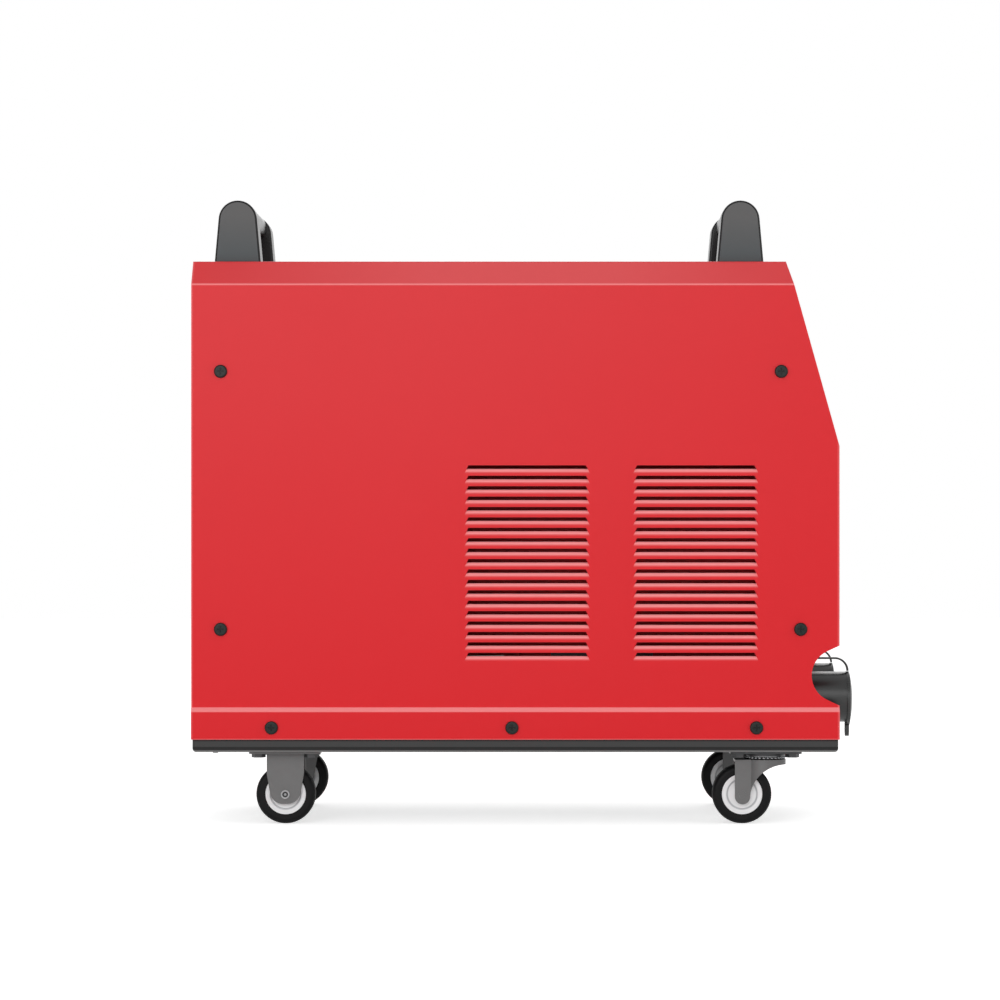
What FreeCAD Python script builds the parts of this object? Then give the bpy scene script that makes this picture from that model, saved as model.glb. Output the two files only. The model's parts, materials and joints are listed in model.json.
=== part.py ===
import FreeCAD, Part
import math
import os

V = FreeCAD.Vector

# Frame: +X is the front of the unit, +Y its left side seen from the rear, +Z up, millimetres.
# The origin is on the floor, under the middle of the whole unit with its dust caps on.
# A name that ends in rise is a height above the tray's underside.

# Overall size of the case
body_length = 686.4
body_width = 330.0
case_height = 521.1
cap_reach = 17.8

# Sheet thicknesses, bends and clearances
hood_sheet = 1.5
tray_sheet = 2.0
hood_bend = 3.0
panel_bend = 2.5
panel_clear = 0.3
running_clear = 0.05
screw_clear = 0.1
rubber_clear = 0.3

# Hood: skirt, bevels, front slope, notch
tray_band = 13.5
skirt_height = 29.6
skirt_step = 4.0
bevel_in = 24.0
bevel_height = 25.7
slope_run = 55.2
slope_foot_rise = 324.1
notch_radius = 28.3
notch_rise = 81.1
notch_back = 1.2
notch_flare = math.radians(25.0)

# Louvres: two groups on each side
louvre_count = 19
louvre_pitch = 11.02
louvre_tip_length = 133.4
louvre_top_length = 124.3
louvre_height = 9.0
louvre_radius = 6.0
louvre_sweep = math.radians(62.0)
louvre_first_rise = 303.7
louvre_front_margin = 85.5
louvre_gap = 45.1

# Tray
tray_end_inset = 1.2
tray_flange_rise = 41.1
tray_lip = 14.0
tray_corner = 4.0

# Cross-recessed pan head screw
screw_head_radius = 7.0
screw_head_height = 3.4
screw_radius = 3.0
screw_length = 10.0
recess_arm = 3.6
recess_width = 1.5
recess_depth = 1.9

# Side screws: upper and lower rows on the panels, and one row on the skirt
side_screw_rear = 31.2
side_screw_upper_front = 61.7
side_screw_lower_front = 41.2
side_screw_upper_rise = 403.1
side_screw_lower_rise = 130.1
skirt_screw_rise = 26.1
skirt_screw_places = (-258.0, -3.6, 255.0)

# Handles
handle_rear_place = 46.5
handle_front_place = 102.9
handle_side_inset = 34.0
handle_base = 49.3
handle_height = 66.0
handle_top_radius = 20.5
handle_end_width = 38.0
handle_edge = 2.4
grip_depth = 30.0
grip_height = 23.0
grip_corner = 9.0
grip_drop = 2.0
grip_socket = 8.0
handle_bolt_spread = 22.0
handle_bolt_depth = 20.0

# Hexagon bolt of the handles and casters
bolt_radius = 4.0
bolt_head_flats = 13.0
bolt_head_height = 4.0
nut_height = 6.5
washer_thickness = 1.6
washer_radius = 8.0

# Front panels
panel_recess = 28.0
panel_lip_gap = 1.0
socket_recess = 38.0
step_top_rise = 144.1
step_foot_rise = 118.1
step_lap = 14.0
lap_gap = 1.0
lap_screw_spread = 50.0
panel_side_depth = 28.0
foot_width = 18.0
foot_bolt_gap = 13.5
foot_screw_gap = 31.5
front_vent_count = 8
front_vent_pitch = 11.0
front_vent_length = 210.0
front_vent_height = 3.8
front_vent_rise = 274.1

# Things on the sloped panel: across the panel, then up the slope from its knee
gauge_place = (-98.0, 140.0)
window_place = (0.0, 148.0)
lamp_places = ((76.0, 148.0), (98.0, 148.0), (120.0, 148.0))
current_knob_place = (0.0, 66.0)
flow_knob_place = (98.0, 66.0)
rocker_places = ((-115.0, 66.0), (-81.0, 66.0))

# Gauge
gauge_radius = 26.0
gauge_bezel_radius = 29.0
gauge_bezel_height = 6.0
gauge_depth = 24.0
gauge_wall = 2.0
dial_depth = 3.0
lens_thickness = 2.0
needle_length = 18.5
needle_tail = 6.0
needle_pin = 1.2
needle_rest_angle = math.radians(225.0)

# Display window and board behind it
window_size = (100.0, 38.0)
window_rim = 3.0
window_rim_height = 1.6
board_thickness = 1.6
board_depth = 26.0
board_size = (230.0, 110.0)
board_centre = (10.0, 112.0)
display_margin = 8.0
display_depth = 6.0

# Knobs and potentiometers
pot_radius = 11.0
pot_bush_radius = 4.5
pot_bush_height = 5.0
pot_nut_flats = 12.0
pot_nut_height = 2.2
spindle_radius = 3.0
current_knob_radius = 22.0
current_knob_height = 21.0
flow_knob_radius = 15.0
flow_knob_height = 17.0
knob_gap = 1.2
knob_flutes = 24
knob_flute_radius = 1.3
pointer_width = 1.8
pointer_depth = 1.0

# Rocker switches
rocker_bezel = (22.0, 31.0)
rocker_bezel_height = 2.4
rocker_cut = (18.0, 27.0)
rocker_body_depth = 20.0
rocker_width = 15.0
rocker_arc = 11.5
rocker_pivot_depth = 2.5
rocker_tilt = math.radians(9.0)
rocker_crest = 3.4
rocker_pin = 1.5

# Lamps
lamp_bezel_radius = 5.6
lamp_bezel_height = 1.6
lamp_lens_radius = 4.0
lamp_body_depth = 12.0

# Sockets, dust caps and tethers
socket_inset = 53.5
socket_rise = 56.1
socket_flange_lip = 3.0
socket_flange_thickness = 4.0
socket_neck_radius = 23.2
socket_nose = 9.0
socket_bore = 6.6
socket_bore_depth = 34.0
socket_insert_length = 34.0
insert_sink = 3.0
socket_insert_radius = 10.0
socket_thread_radius = 19.0
socket_thread_length = 24.0
socket_nut_flats = 46.0
socket_nut_thickness = 7.0
torch_core_radius = 15.0
torch_core_wall = 2.5
torch_core_sink = 4.0
torch_pin_radius = 4.0
torch_pin_sink = 12.0
air_passage = 1.6
hose_tail = 12.0
cap_wall = 3.8
cap_rim_lip = 2.2
cap_rim_thickness = 3.2
cap_dome = 3.6
cap_disc_drop = 2.0
cap_tab = (12.0, 4.0, 14.0)
strap_ring = 2.4
strap_width = 8.0
strap_thickness = 2.0
strap_rise = 15.4
strap_front_bend = 14.6
strap_rear_bend = 6.0

# Control socket between them
control_socket_flange = 13.0
control_socket_radius = 9.5
control_socket_length = 13.0
control_well_depth = 8.0
control_pin_radius = 0.8
control_pin_circle = 5.2

# Rear panel and what is on it; a spot is across the panel, then above the tray's underside
rear_recess = 36.0
fan_rise = 157.1
fan_size = 170.0
fan_corner = 12.0
fan_depth = 50.0
fan_bore = 79.0
fan_tip_gap = 1.5
fan_face_gap = 1.5
fan_hub = 31.0
fan_blades = 7
fan_blade_angle = math.radians(38.0)
fan_blade_thickness = 2.2
fan_spindle = 4.0
fan_strut = 7.0
fan_stator_thickness = 7.0
fan_screw_spread = 75.0
guard_rings = (18.0, 33.0, 48.0, 63.0, 78.0)
guard_wire = 1.5
guard_stand = 4.0
guard_eye = 3.0
breaker_spot = (62.0, 377.1)
breaker_front = (54.0, 46.0)
breaker_stand = 8.0
breaker_body_height = 84.0
breaker_body_depth = 62.0
lever_width = 40.0
lever_pivot_depth = 3.0
lever_drum = 7.0
lever_reach = 18.0
lever_thickness = 5.0
lever_pin = 2.0
lever_rest = math.radians(-35.0)
gland_spot = (-72.0, 377.1)
gland_thread = 16.0
gland_bore = 8.0
gland_flats = 38.0
gland_hex = 7.0
gland_gap = 0.5
gland_dome = 20.0
gland_tail = 12.5
gland_dome_radius = 17.5
inlet_spot = (-116.0, 47.1)
inlet_thread = 6.5
inlet_flats = 19.0
inlet_hex = 7.0
inlet_tail = 20.0
inlet_tail_radius = 4.0
inlet_bore = 2.5
stud_spot = (116.0, 47.1)
stud_length = 24.0

# Inside
divider_sheet = 1.5
divider_gap = 5.0
divider_length = 264.0
divider_rear = 58.0
divider_rear_rise = 98.1
divider_rise = 324.1
divider_foot = 16.0
divider_screw_inset = 20.0
sink_gap = 14.0
sink_length = 240.0
sink_bolt_gap = 11.5
sink_height = 72.0
sink_base = 12.0
sink_fins = 13
sink_fin = 3.0
module_size = (92.0, 34.0, 17.0)
module_start = 18.0
module_gap = (16.0, 28.0)
inverter_board_size = (220.0, 170.0)
inverter_board_start = 8.0
capacitor_radius = 17.5
capacitor_height = 50.0
capacitor_start = 40.0
capacitor_pitch = 55.0
capacitor_spread = 58.0
filter_block = (60.0, 44.0, 30.0)
driver_block = (56.0, 36.0, 24.0)
block_start = 30.0
block_gap = 12.0
core_size = (110.0, 50.0, 100.0)
core_yoke = 18.0
core_leg = 15.0
core_centre = 30.0
core_sink_gap = 40.0
core_middle_gap = 32.0
coil_wall = 19.0
coil_clear = 0.5
choke_radius = 44.0
choke_hole = 16.0
choke_height = 42.0
choke_y = 70.0
valve_size = (34.0, 32.0, 26.0)
valve_coil_height = 34.0
hose_radius = 4.0
hose_bore = 2.75
hose_run_share = 0.45
hose_end_gap = 0.2
hose_points = (
    (-240.0, -116.0, 125.0),
    (-185.0, -118.0, 84.6),
    (-80.0, -126.0, 84.6),
    (30.0, -131.0, 84.6),
    (130.0, -128.0, 84.6),
    (185.0, -119.5, 90.0),
    (235.0, -107.5, 134.0),
)

# Casters
wheel_radius = 31.5
wheel_width = 24.0
hub_radius = 21.5
hub_boss = 9.0
hub_web_radius = 15.2
hub_groove = 1.6
hub_side_gap = 0.4
tyre_shoulder = 5.0
axle_radius = 4.0
fork_sheet = 2.5
fork_inner = 28.4
plate_thickness = 2.5
plate_length = 76.0
plate_width = 60.0
plate_bolt_x = 56.0
plate_bolt_y = 42.0
plate_corner = 5.0
caster_inset = 38.5
rear_wheel_place = 98.2
front_wheel_place = 101.6
trail = 24.6
rear_fork_width = 39.5
rear_fork_shoulder = 21.9
rear_fork_shoulder_round = 10.0
rear_fork_round = 15.0
rear_fork_foot = 10.0
crown_gap = 5.4
crown_radius = 22.6
leg_back = 7.9
leg_round = 8.1
leg_foot = 10.6
leg_sweep = 35.7
crown_skirt = 5.5
race_radius = 22.5
race_thickness = 3.5
ball_radius = 1.8
ball_clear = 0.2
ball_seat = 0.3
ball_count = 30
ball_circle = 20.4
kingpin_radius = 6.0
kingpin_head_radius = 9.0
kingpin_head = 3.6
kingpin_gap = 0.3
rivet_lip = 0.6
rivet_height = 2.0
rivet_dent = 1.6

# Places worked out from the sizes above
crown_top = 2 * wheel_radius + crown_gap
plate_bottom = crown_top + ball_clear + 2 * ball_radius - ball_seat + race_thickness
tray_bottom = plate_bottom + plate_thickness
floor_z = tray_bottom + tray_sheet
tray_flange_top = tray_bottom + tray_flange_rise
skirt_bottom = tray_bottom + tray_band
skirt_top = skirt_bottom + skirt_height
top_z = tray_bottom + case_height
side_top = top_z - bevel_height
rear_x = -(body_length + cap_reach) / 2
front_x = rear_x + body_length
mid_x = (rear_x + front_x) / 2
skirt_y = body_width / 2
side_y = skirt_y - skirt_step
bevel_y = side_y - bevel_in
slope_foot_z = tray_bottom + slope_foot_rise
slope = slope_run / (top_z - slope_foot_z)
slope_stretch = math.hypot(1.0, slope)
panel_front = front_x - panel_recess
knee_z = slope_foot_z - panel_recess * (slope_stretch - 1) / slope
step_top_z = tray_bottom + step_top_rise
step_foot_z = tray_bottom + step_foot_rise
socket_panel_top = step_foot_z - lap_gap
notch_z = tray_bottom + notch_rise
recess_x = front_x - socket_recess
socket_face = recess_x - hood_sheet
socket_spread = side_y - socket_inset
socket_z = tray_bottom + socket_rise
cap_radius = socket_neck_radius + cap_wall
cap_rim_radius = cap_radius + cap_rim_lip
socket_flange_radius = cap_radius + socket_flange_lip
rear_face = rear_x + rear_recess
rear_inner = rear_face + hood_sheet
fan_z = tray_bottom + fan_rise
breaker_place, gland_place, inlet_place, stud_place = (
    (y, tray_bottom + rise) for y, rise in (breaker_spot, gland_spot, inlet_spot, stud_spot)
)
caster_y = side_y - caster_inset
inner_bolt_y = caster_y - plate_bolt_y / 2
sink_width = 2 * (inner_bolt_y - sink_bolt_gap)
foot_half_length = inner_bolt_y - foot_bolt_gap
foot_screw_y = inner_bolt_y - foot_screw_gap
cap_front = front_x + cap_reach
cap_back = socket_face + socket_flange_thickness + strap_ring + 1.2


def along(axis):
    """The unit vector of an axis letter."""
    return {"x": V(1, 0, 0), "y": V(0, 1, 0), "z": V(0, 0, 1)}[axis]


def box(x, y, z):
    """A block from three (low, high) pairs."""
    return Part.makeBox(x[1] - x[0], y[1] - y[0], z[1] - z[0], V(x[0], y[0], z[0]))


def rod(axis, radius, start, length):
    """A round bar along an axis from a start point; a negative length runs the other way."""
    direction = along(axis) * (1 if length > 0 else -1)
    return Part.makeCylinder(radius, abs(length), V(*start), direction)


def tube(axis, outer, inner, start, length):
    """A round bar with a bore."""
    return rod(axis, outer, start, length).cut(rod(axis, inner, start, length))


def hexagon(axis, flats, start, length):
    """A hexagonal bar across its flats, along an axis from a start point."""
    radius = flats / math.sqrt(3)
    corners = [
        V(radius * math.cos(math.radians(a)), radius * math.sin(math.radians(a)), 0)
        for a in range(0, 361, 60)
    ]
    bar = Part.Face(Part.makePolygon(corners)).extrude(V(0, 0, abs(length)))
    turned = along(axis) * (1 if length > 0 else -1)
    bar.Placement = FreeCAD.Placement(V(*start), FreeCAD.Rotation(V(0, 0, 1), turned))
    return bar


def in_plane(plane, a, b, c=0.0):
    """A point from its two values in a plane and its third value."""
    if plane == "xy":
        return V(a, b, c)
    if plane == "xz":
        return V(a, c, b)
    return V(c, a, b)


def outline(plane, points, at=0.0):
    """A flat face; a point's third value, where it has one, rounds that corner."""
    corners = []
    for i, point in enumerate(points):
        here = V(point[0], point[1], 0)
        radius = point[2] if len(point) > 2 else 0.0
        if not radius:
            corners.append((here, None, here))
            continue
        before = points[i - 1]
        after = points[(i + 1) % len(points)]
        back = (V(before[0], before[1], 0) - here).normalize()
        ahead = (V(after[0], after[1], 0) - here).normalize()
        half = back.getAngle(ahead) / 2
        reach = radius / math.tan(half)
        middle = here + (back + ahead).normalize() * (radius / math.sin(half) - radius)
        corners.append((here + back * reach, middle, here + ahead * reach))
    edges = []
    for i, (start, middle, end) in enumerate(corners):
        following = corners[(i + 1) % len(corners)][0]
        if middle is not None:
            three = [in_plane(plane, p.x, p.y, at) for p in (start, middle, end)]
            edges.append(Part.Arc(*three).toShape())
        if (following - end).Length > 1e-6:
            line = [in_plane(plane, p.x, p.y, at) for p in (end, following)]
            edges.append(Part.LineSegment(*line).toShape())
    return Part.Face(Part.Wire(edges))


def prism(plane, points, low, high):
    """An outline in a plane, pushed from low to high along the third axis."""
    return outline(plane, points, low).extrude(in_plane(plane, 0, 0, high - low))


def offset_path(points, distance, closed):
    """A path moved to its right-hand side by a distance, with sharp corners."""
    count = len(points)
    pairs = count if closed else count - 1
    lines = []
    for i in range(pairs):
        start = V(points[i][0], points[i][1], 0)
        step = (V(points[(i + 1) % count][0], points[(i + 1) % count][1], 0) - start).normalize()
        side = V(step.y, -step.x, 0) * distance
        lines.append((start + side, step))
    moved = []
    for i in range(count):
        if not closed and i == 0:
            moved.append(lines[0][0])
            continue
        if not closed and i == count - 1:
            last = V(points[i][0], points[i][1], 0)
            step = lines[-1][1]
            moved.append(last + V(step.y, -step.x, 0) * distance)
            continue
        (p, a), (q, b) = lines[i - 1], lines[i % pairs]
        cross = a.x * b.y - a.y * b.x
        gap = q - p
        moved.append(p + a * ((gap.x * b.y - gap.y * b.x) / cross))
    return [(p.x, p.y) for p in moved]


def folded(points, thickness, bend):
    """The section of a folded sheet: its outer face's path, then its inner face on the right-hand side."""
    inner = offset_path(points, thickness, False)
    tight = max(bend - thickness, 0.3)
    outer_side, inner_side = [], []
    last = len(points) - 1
    for i, (outer_point, inner_point) in enumerate(zip(points, inner)):
        if i in (0, last):
            outer_side.append(outer_point)
            inner_side.append(inner_point)
            continue
        ahead = (points[i + 1][0] - points[i][0], points[i + 1][1] - points[i][1])
        behind = (points[i][0] - points[i - 1][0], points[i][1] - points[i - 1][1])
        turns_right = behind[0] * ahead[1] - behind[1] * ahead[0] < 0
        outer_side.append((*outer_point, bend if turns_right else tight))
        inner_side.append((*inner_point, tight if turns_right else bend))
    return outer_side + inner_side[::-1]


def both_sides(shape):
    """A shape and its mirror image across the unit's middle plane."""
    return [shape, shape.mirror(V(0, 0, 0), V(0, 1, 0))]


def group(solids):
    """Separate solids kept together in one node."""
    return Part.makeCompound(solids)


def placed(shape, origin, normal):
    """A shape built about the origin along +Z, moved to a point with +Z along a normal."""
    copy = shape.copy()
    turn = FreeCAD.Rotation(V(0, 0, 1), normal)
    copy.Placement = FreeCAD.Placement(origin, turn).multiply(copy.Placement)
    return copy


def slope_x(z):
    """How far forward the hood's sloped front edge is at a height."""
    return front_x - (z - slope_foot_z) * slope


def case_outline(clear, bottom):
    """The hood's inner outline from a bottom height up, drawn in by a clearance."""
    outer = [
        (-side_y, bottom - hood_sheet - clear),
        (-side_y, side_top),
        (-bevel_y, top_z),
        (bevel_y, top_z),
        (side_y, side_top),
        (side_y, bottom - hood_sheet - clear),
    ]
    return offset_path(outer, hood_sheet + clear, True)


slope_frame = FreeCAD.Placement(
    V(panel_front, 0, knee_z),
    FreeCAD.Rotation(
        V(0, 1, 0),
        V(-slope / slope_stretch, 0, 1 / slope_stretch),
        V(1 / slope_stretch, 0, slope / slope_stretch),
        "ZXY",
    ),
)


def on_slope(shape):
    """A shape built on a flat panel face (across, up, out) moved to the sloped panel."""
    copy = shape.copy()
    copy.Placement = slope_frame.multiply(copy.Placement)
    return copy


def side_screw_places():
    """Seat point and outward direction of each screw in the hood's sides."""
    upper = [rear_x + side_screw_rear, front_x - side_screw_upper_front]
    lower = [rear_x + side_screw_rear, front_x - side_screw_lower_front]
    places = []
    for sign in (-1, 1):
        out = V(0, sign, 0)
        places += [(V(x, sign * side_y, tray_bottom + side_screw_upper_rise), out) for x in upper]
        places += [(V(x, sign * side_y, tray_bottom + side_screw_lower_rise), out) for x in lower]
        skirt_z = tray_bottom + skirt_screw_rise
        places += [(V(mid_x + x, sign * skirt_y, skirt_z), out) for x in skirt_screw_places]
    return places


def lap_screw_places():
    """Screws through the lap of the control panel over the socket panel."""
    z = step_foot_z - step_lap / 2
    return [(V(recess_x, y, z), V(1, 0, 0)) for y in (-lap_screw_spread, 0.0, lap_screw_spread)]


def fan_screw_places():
    """Screws through the fan guard's eyes, the rear panel and the fan's corners."""
    return [
        (V(rear_face - guard_eye, y, fan_z + z), V(-1, 0, 0))
        for y in (-fan_screw_spread, fan_screw_spread)
        for z in (-fan_screw_spread, fan_screw_spread)
    ]


def foot_screw_places():
    """Screws that hold the feet of the rear panel, socket panel and divider to the tray's floor."""
    rear = rear_x + rear_recess / 2
    front = socket_face - hood_sheet - foot_width / 2
    foot_top = floor_z + hood_sheet
    up = V(0, 0, 1)
    places = [
        (V(x, y, foot_top), up) for x in (rear, front) for y in (-foot_screw_y, foot_screw_y)
    ]
    middle = sink_start() + sink_length
    for x in (middle + divider_screw_inset, middle + divider_length - divider_screw_inset):
        places.append((V(x, -divider_foot / 2 - 1.0, floor_z + divider_sheet), up))
    return places


def pan_screw():
    """One cross-recessed pan head screw, seat at the origin, head up."""
    head = Part.makeCylinder(screw_head_radius, screw_head_height, V(0, 0, 0))
    head = head.makeFillet(
        screw_head_height * 0.55, [e for e in head.Edges if e.BoundBox.ZMin > screw_head_height / 2]
    )
    shank = Part.makeCylinder(screw_radius, screw_length, V(0, 0, -screw_length))
    bottom = screw_head_height - recess_depth
    top = screw_head_height + 1
    arms = box((-recess_arm, recess_arm), (-recess_width / 2, recess_width / 2), (bottom, top))
    other = box((-recess_width / 2, recess_width / 2), (-recess_arm, recess_arm), (bottom, top))
    return head.fuse(shank).cut([arms, other]).removeSplitter()


def case_screws():
    """All pan head screws of the case, as separate solids."""
    screw = pan_screw()
    places = side_screw_places() + lap_screw_places() + fan_screw_places() + foot_screw_places()
    return group([placed(screw, point, out) for point, out in places])


def screw_holes(places, radius=screw_radius + screw_clear):
    """Round cutters through the sheets under a list of screws."""
    reach = screw_length + 6
    return [
        Part.makeCylinder(radius, reach, point - out * (reach - 3), out) for point, out in places
    ]


def base_tray():
    """Folded pan: floor, tall side flanges inside the hood's skirt, low lips at the ends."""
    x = (rear_x + tray_end_inset, front_x - tray_end_inset)
    half = skirt_y - hood_sheet
    outer = box(x, (-half, half), (tray_bottom, tray_flange_top))
    corners = [e for e in outer.Edges if e.BoundBox.ZMax < tray_bottom + 1 or e.BoundBox.ZLength > 30]
    outer = outer.makeFillet(tray_corner, corners)
    t = tray_sheet
    inner = box(
        (x[0] + t, x[1] - t), (-half + t, half - t), (floor_z, tray_flange_top + 10)
    )
    corners = [e for e in inner.Edges if e.BoundBox.ZMax < floor_z + 1 or e.BoundBox.ZLength > 30]
    inner = inner.makeFillet(tray_corner - t, corners)
    lip_z = tray_bottom + tray_lip
    clear_y = (-half + t + 2, half - t - 2)
    ends = [
        box((x[0] - 1, x[0] + 12), clear_y, (lip_z, tray_flange_top + 1)),
        box((x[1] - 12, x[1] + 1), clear_y, (lip_z, tray_flange_top + 1)),
    ]
    bolts = [
        rod("z", bolt_radius + screw_clear, (bx, by, tray_bottom - 5), 20)
        for bx, by in caster_bolt_places()
    ]
    screws = screw_holes(side_screw_places() + foot_screw_places())
    return outer.cut([inner] + ends + bolts + screws)


def hood_cover():
    """One folded sheet: skirts, joggles, sides, bevels and top, with louvres, slope and notches."""
    half_section = [
        (-skirt_y, skirt_bottom),
        (-skirt_y, skirt_top),
        (-side_y, skirt_top + skirt_step),
        (-side_y, side_top),
        (-bevel_y, top_z),
    ]
    path = half_section + [(-y, z) for y, z in half_section[::-1]]
    section = folded(path, hood_sheet, hood_bend)
    hood = prism("yz", section, rear_x, front_x)
    beyond = 20.0
    slope_cut = prism(
        "xz",
        [
            (front_x, slope_foot_z),
            (slope_x(top_z + beyond), top_z + beyond),
            (front_x + beyond, top_z + beyond),
            (front_x + beyond, slope_foot_z),
        ],
        -skirt_y - 1,
        skirt_y + 1,
    )
    hood = hood.cut([slope_cut, notch(), *louvre_cuts()] + screw_holes(side_screw_places())
                    + handle_bolt_holes())
    return hood.fuse(louvre_blades()).removeSplitter()


def notch():
    """The round notch through both side sheets, flared to the front edge."""
    centre_x = front_x - notch_back
    disc = rod("y", notch_radius, (centre_x, -skirt_y - 5, notch_z), body_width + 10)
    lean = math.pi / 2 + notch_flare
    touch_x = centre_x + notch_radius * math.cos(lean)
    touch_z = notch_radius * math.sin(lean)
    out_x = front_x + 10
    out_z = touch_z + (out_x - touch_x) * math.tan(notch_flare)
    mouth = prism(
        "xz",
        [
            (touch_x, notch_z - touch_z),
            (out_x, notch_z - out_z),
            (out_x, notch_z + out_z),
            (touch_x, notch_z + touch_z),
        ],
        -skirt_y - 5,
        skirt_y + 5,
    )
    return disc.fuse(mouth)


def louvre_places():
    """Left end and bottom edge of each louvre."""
    front_left = front_x - louvre_front_margin - louvre_tip_length
    rear_left = front_left - louvre_gap - louvre_tip_length
    first_bottom = tray_bottom + louvre_first_rise - louvre_height
    return [
        (left, first_bottom - row * louvre_pitch)
        for left in (rear_left, front_left)
        for row in range(louvre_count)
    ]


def louvre_shape(left, bottom):
    """The four corners of a louvre's cut: long edge below, shorter edge above."""
    slant = (louvre_tip_length - louvre_top_length) / 2
    right = left + louvre_tip_length
    top = bottom + louvre_height
    return [(left, bottom), (left + slant, top), (right - slant, top), (right, bottom)]


def louvre_cuts():
    """Cutters that go through both side sheets."""
    return [
        prism("xz", louvre_shape(left, bottom), -side_y - 2, side_y + 2)
        for left, bottom in louvre_places()
    ]


def louvre_blades():
    """The flaps pressed inwards: each curves in from its bottom edge and ends free at the top."""
    inner = louvre_radius - hood_sheet
    foot, bottom = -side_y, 0.0
    centre = foot + louvre_radius
    half = louvre_sweep / 2
    points = {
        radius: [
            V(0, centre - radius * math.cos(a), bottom + radius * math.sin(a))
            for a in (0.0, half, louvre_sweep)
        ]
        for radius in (louvre_radius, inner)
    }
    outer_arc = Part.Arc(*points[louvre_radius]).toShape()
    inner_arc = Part.Arc(*points[inner]).toShape()
    tip = Part.LineSegment(points[louvre_radius][2], points[inner][2]).toShape()
    root = Part.LineSegment(points[inner][0], points[louvre_radius][0]).toShape()
    face = Part.Face(Part.Wire(Part.__sortEdges__([outer_arc, tip, inner_arc, root])))
    strip = face.extrude(V(louvre_tip_length, 0, 0))
    trim = prism("xz", louvre_shape(0.0, 0.0), -side_y - 1, -side_y + 10)
    blade = strip.common(trim)
    blades = []
    for left, low in louvre_places():
        copy = blade.copy()
        copy.translate(V(left, 0, low))
        blades += both_sides(copy)
    return blades


def handle_centres():
    """Where the two handles stand along the unit."""
    return (rear_x + handle_rear_place, front_x - handle_front_place)


def handle_bolt_places():
    """Bolt axes in the handle ends."""
    y = side_y - handle_side_inset - handle_end_width / 2
    return [
        (centre, sign * (y + across))
        for centre in handle_centres()
        for sign in (-1, 1)
        for across in (-handle_bolt_spread / 2, handle_bolt_spread / 2)
    ]


def handle_bolt_holes():
    """Holes through the hood's top for the handle bolts."""
    return [
        rod("z", bolt_radius + screw_clear, (x, y, top_z - 10), 20) for x, y in handle_bolt_places()
    ]


def handle_end(centre, sign):
    """One moulded handle end: a tapered cheek with a round top, hollowed for the grip and two bolts."""
    outer_y = side_y - handle_side_inset
    arc_z = handle_height - handle_top_radius
    reach = math.hypot(handle_base / 2, arc_z)
    lean = math.acos(handle_top_radius / reach) - math.atan2(arc_z, handle_base / 2)
    touch = (handle_top_radius * math.cos(lean), arc_z + handle_top_radius * math.sin(lean))
    corners = [
        V(centre - handle_base / 2, 0, top_z),
        V(centre + handle_base / 2, 0, top_z),
        V(centre + touch[0], 0, top_z + touch[1]),
        V(centre, 0, top_z + handle_height),
        V(centre - touch[0], 0, top_z + touch[1]),
    ]
    edges = [
        Part.LineSegment(corners[0], corners[1]).toShape(),
        Part.LineSegment(corners[1], corners[2]).toShape(),
        Part.Arc(corners[2], corners[3], corners[4]).toShape(),
        Part.LineSegment(corners[4], corners[0]).toShape(),
    ]
    cheek = Part.Face(Part.Wire(edges)).extrude(V(0, handle_end_width, 0))
    cheek.translate(V(0, outer_y - handle_end_width, 0))
    rounded = [
        e
        for e in cheek.Edges
        if e.BoundBox.YLength < 0.1 and e.BoundBox.ZMax > top_z + 1
    ]
    cheek = cheek.makeFillet(handle_edge, rounded)
    if sign < 0:
        cheek = cheek.mirror(V(0, 0, 0), V(0, 1, 0))
    pocket = grip_shape(centre, screw_clear)
    bolts = [
        rod("z", bolt_radius + screw_clear, (x, y, top_z - 1), handle_bolt_depth + 1)
        for x, y in handle_bolt_places()
    ]
    return cheek.cut([pocket] + bolts)


def grip_shape(centre, clear):
    """The grip bar's outline with a clearance, from socket to socket."""
    half = grip_depth / 2 + clear
    top = top_z + handle_height - grip_drop + clear
    bottom = top - grip_height - 2 * clear
    corner = grip_corner
    end = side_y - handle_side_inset - handle_end_width + grip_socket + clear
    return prism(
        "xz",
        [
            (centre - half, bottom, corner),
            (centre + half, bottom, corner),
            (centre + half, top, corner),
            (centre - half, top, corner),
        ],
        -end,
        end,
    )


def hex_bolt(length):
    """A hexagon bolt: head under the seat at the origin, shank up."""
    head = hexagon("z", bolt_head_flats, (0, 0, -bolt_head_height), bolt_head_height)
    return head.fuse(rod("z", bolt_radius, (0, 0, 0), length)).removeSplitter()


def frame_bolts():
    """Bolts, nuts and washers that hold the handles and casters, as separate solids."""
    solids = []
    under_top = top_z - hood_sheet
    washer = tube("z", washer_radius, bolt_radius + running_clear, (0, 0, 0), -washer_thickness)
    handle_bolt = hex_bolt(washer_thickness + hood_sheet + handle_bolt_depth - 2)
    for x, y in handle_bolt_places():
        solids.append(placed(washer, V(x, y, under_top), V(0, 0, 1)))
        solids.append(placed(handle_bolt, V(x, y, under_top - washer_thickness), V(0, 0, 1)))
    caster_bolt = hex_bolt(plate_thickness + tray_sheet + nut_height + 2)
    nut = hexagon("z", bolt_head_flats, (0, 0, 0), nut_height).cut(
        rod("z", bolt_radius + running_clear, (0, 0, -1), nut_height + 2)
    )
    for x, y in caster_bolt_places():
        solids.append(placed(caster_bolt, V(x, y, plate_bottom), V(0, 0, 1)))
        solids.append(placed(nut, V(x, y, floor_z), V(0, 0, 1)))
    return group(solids)


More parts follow.
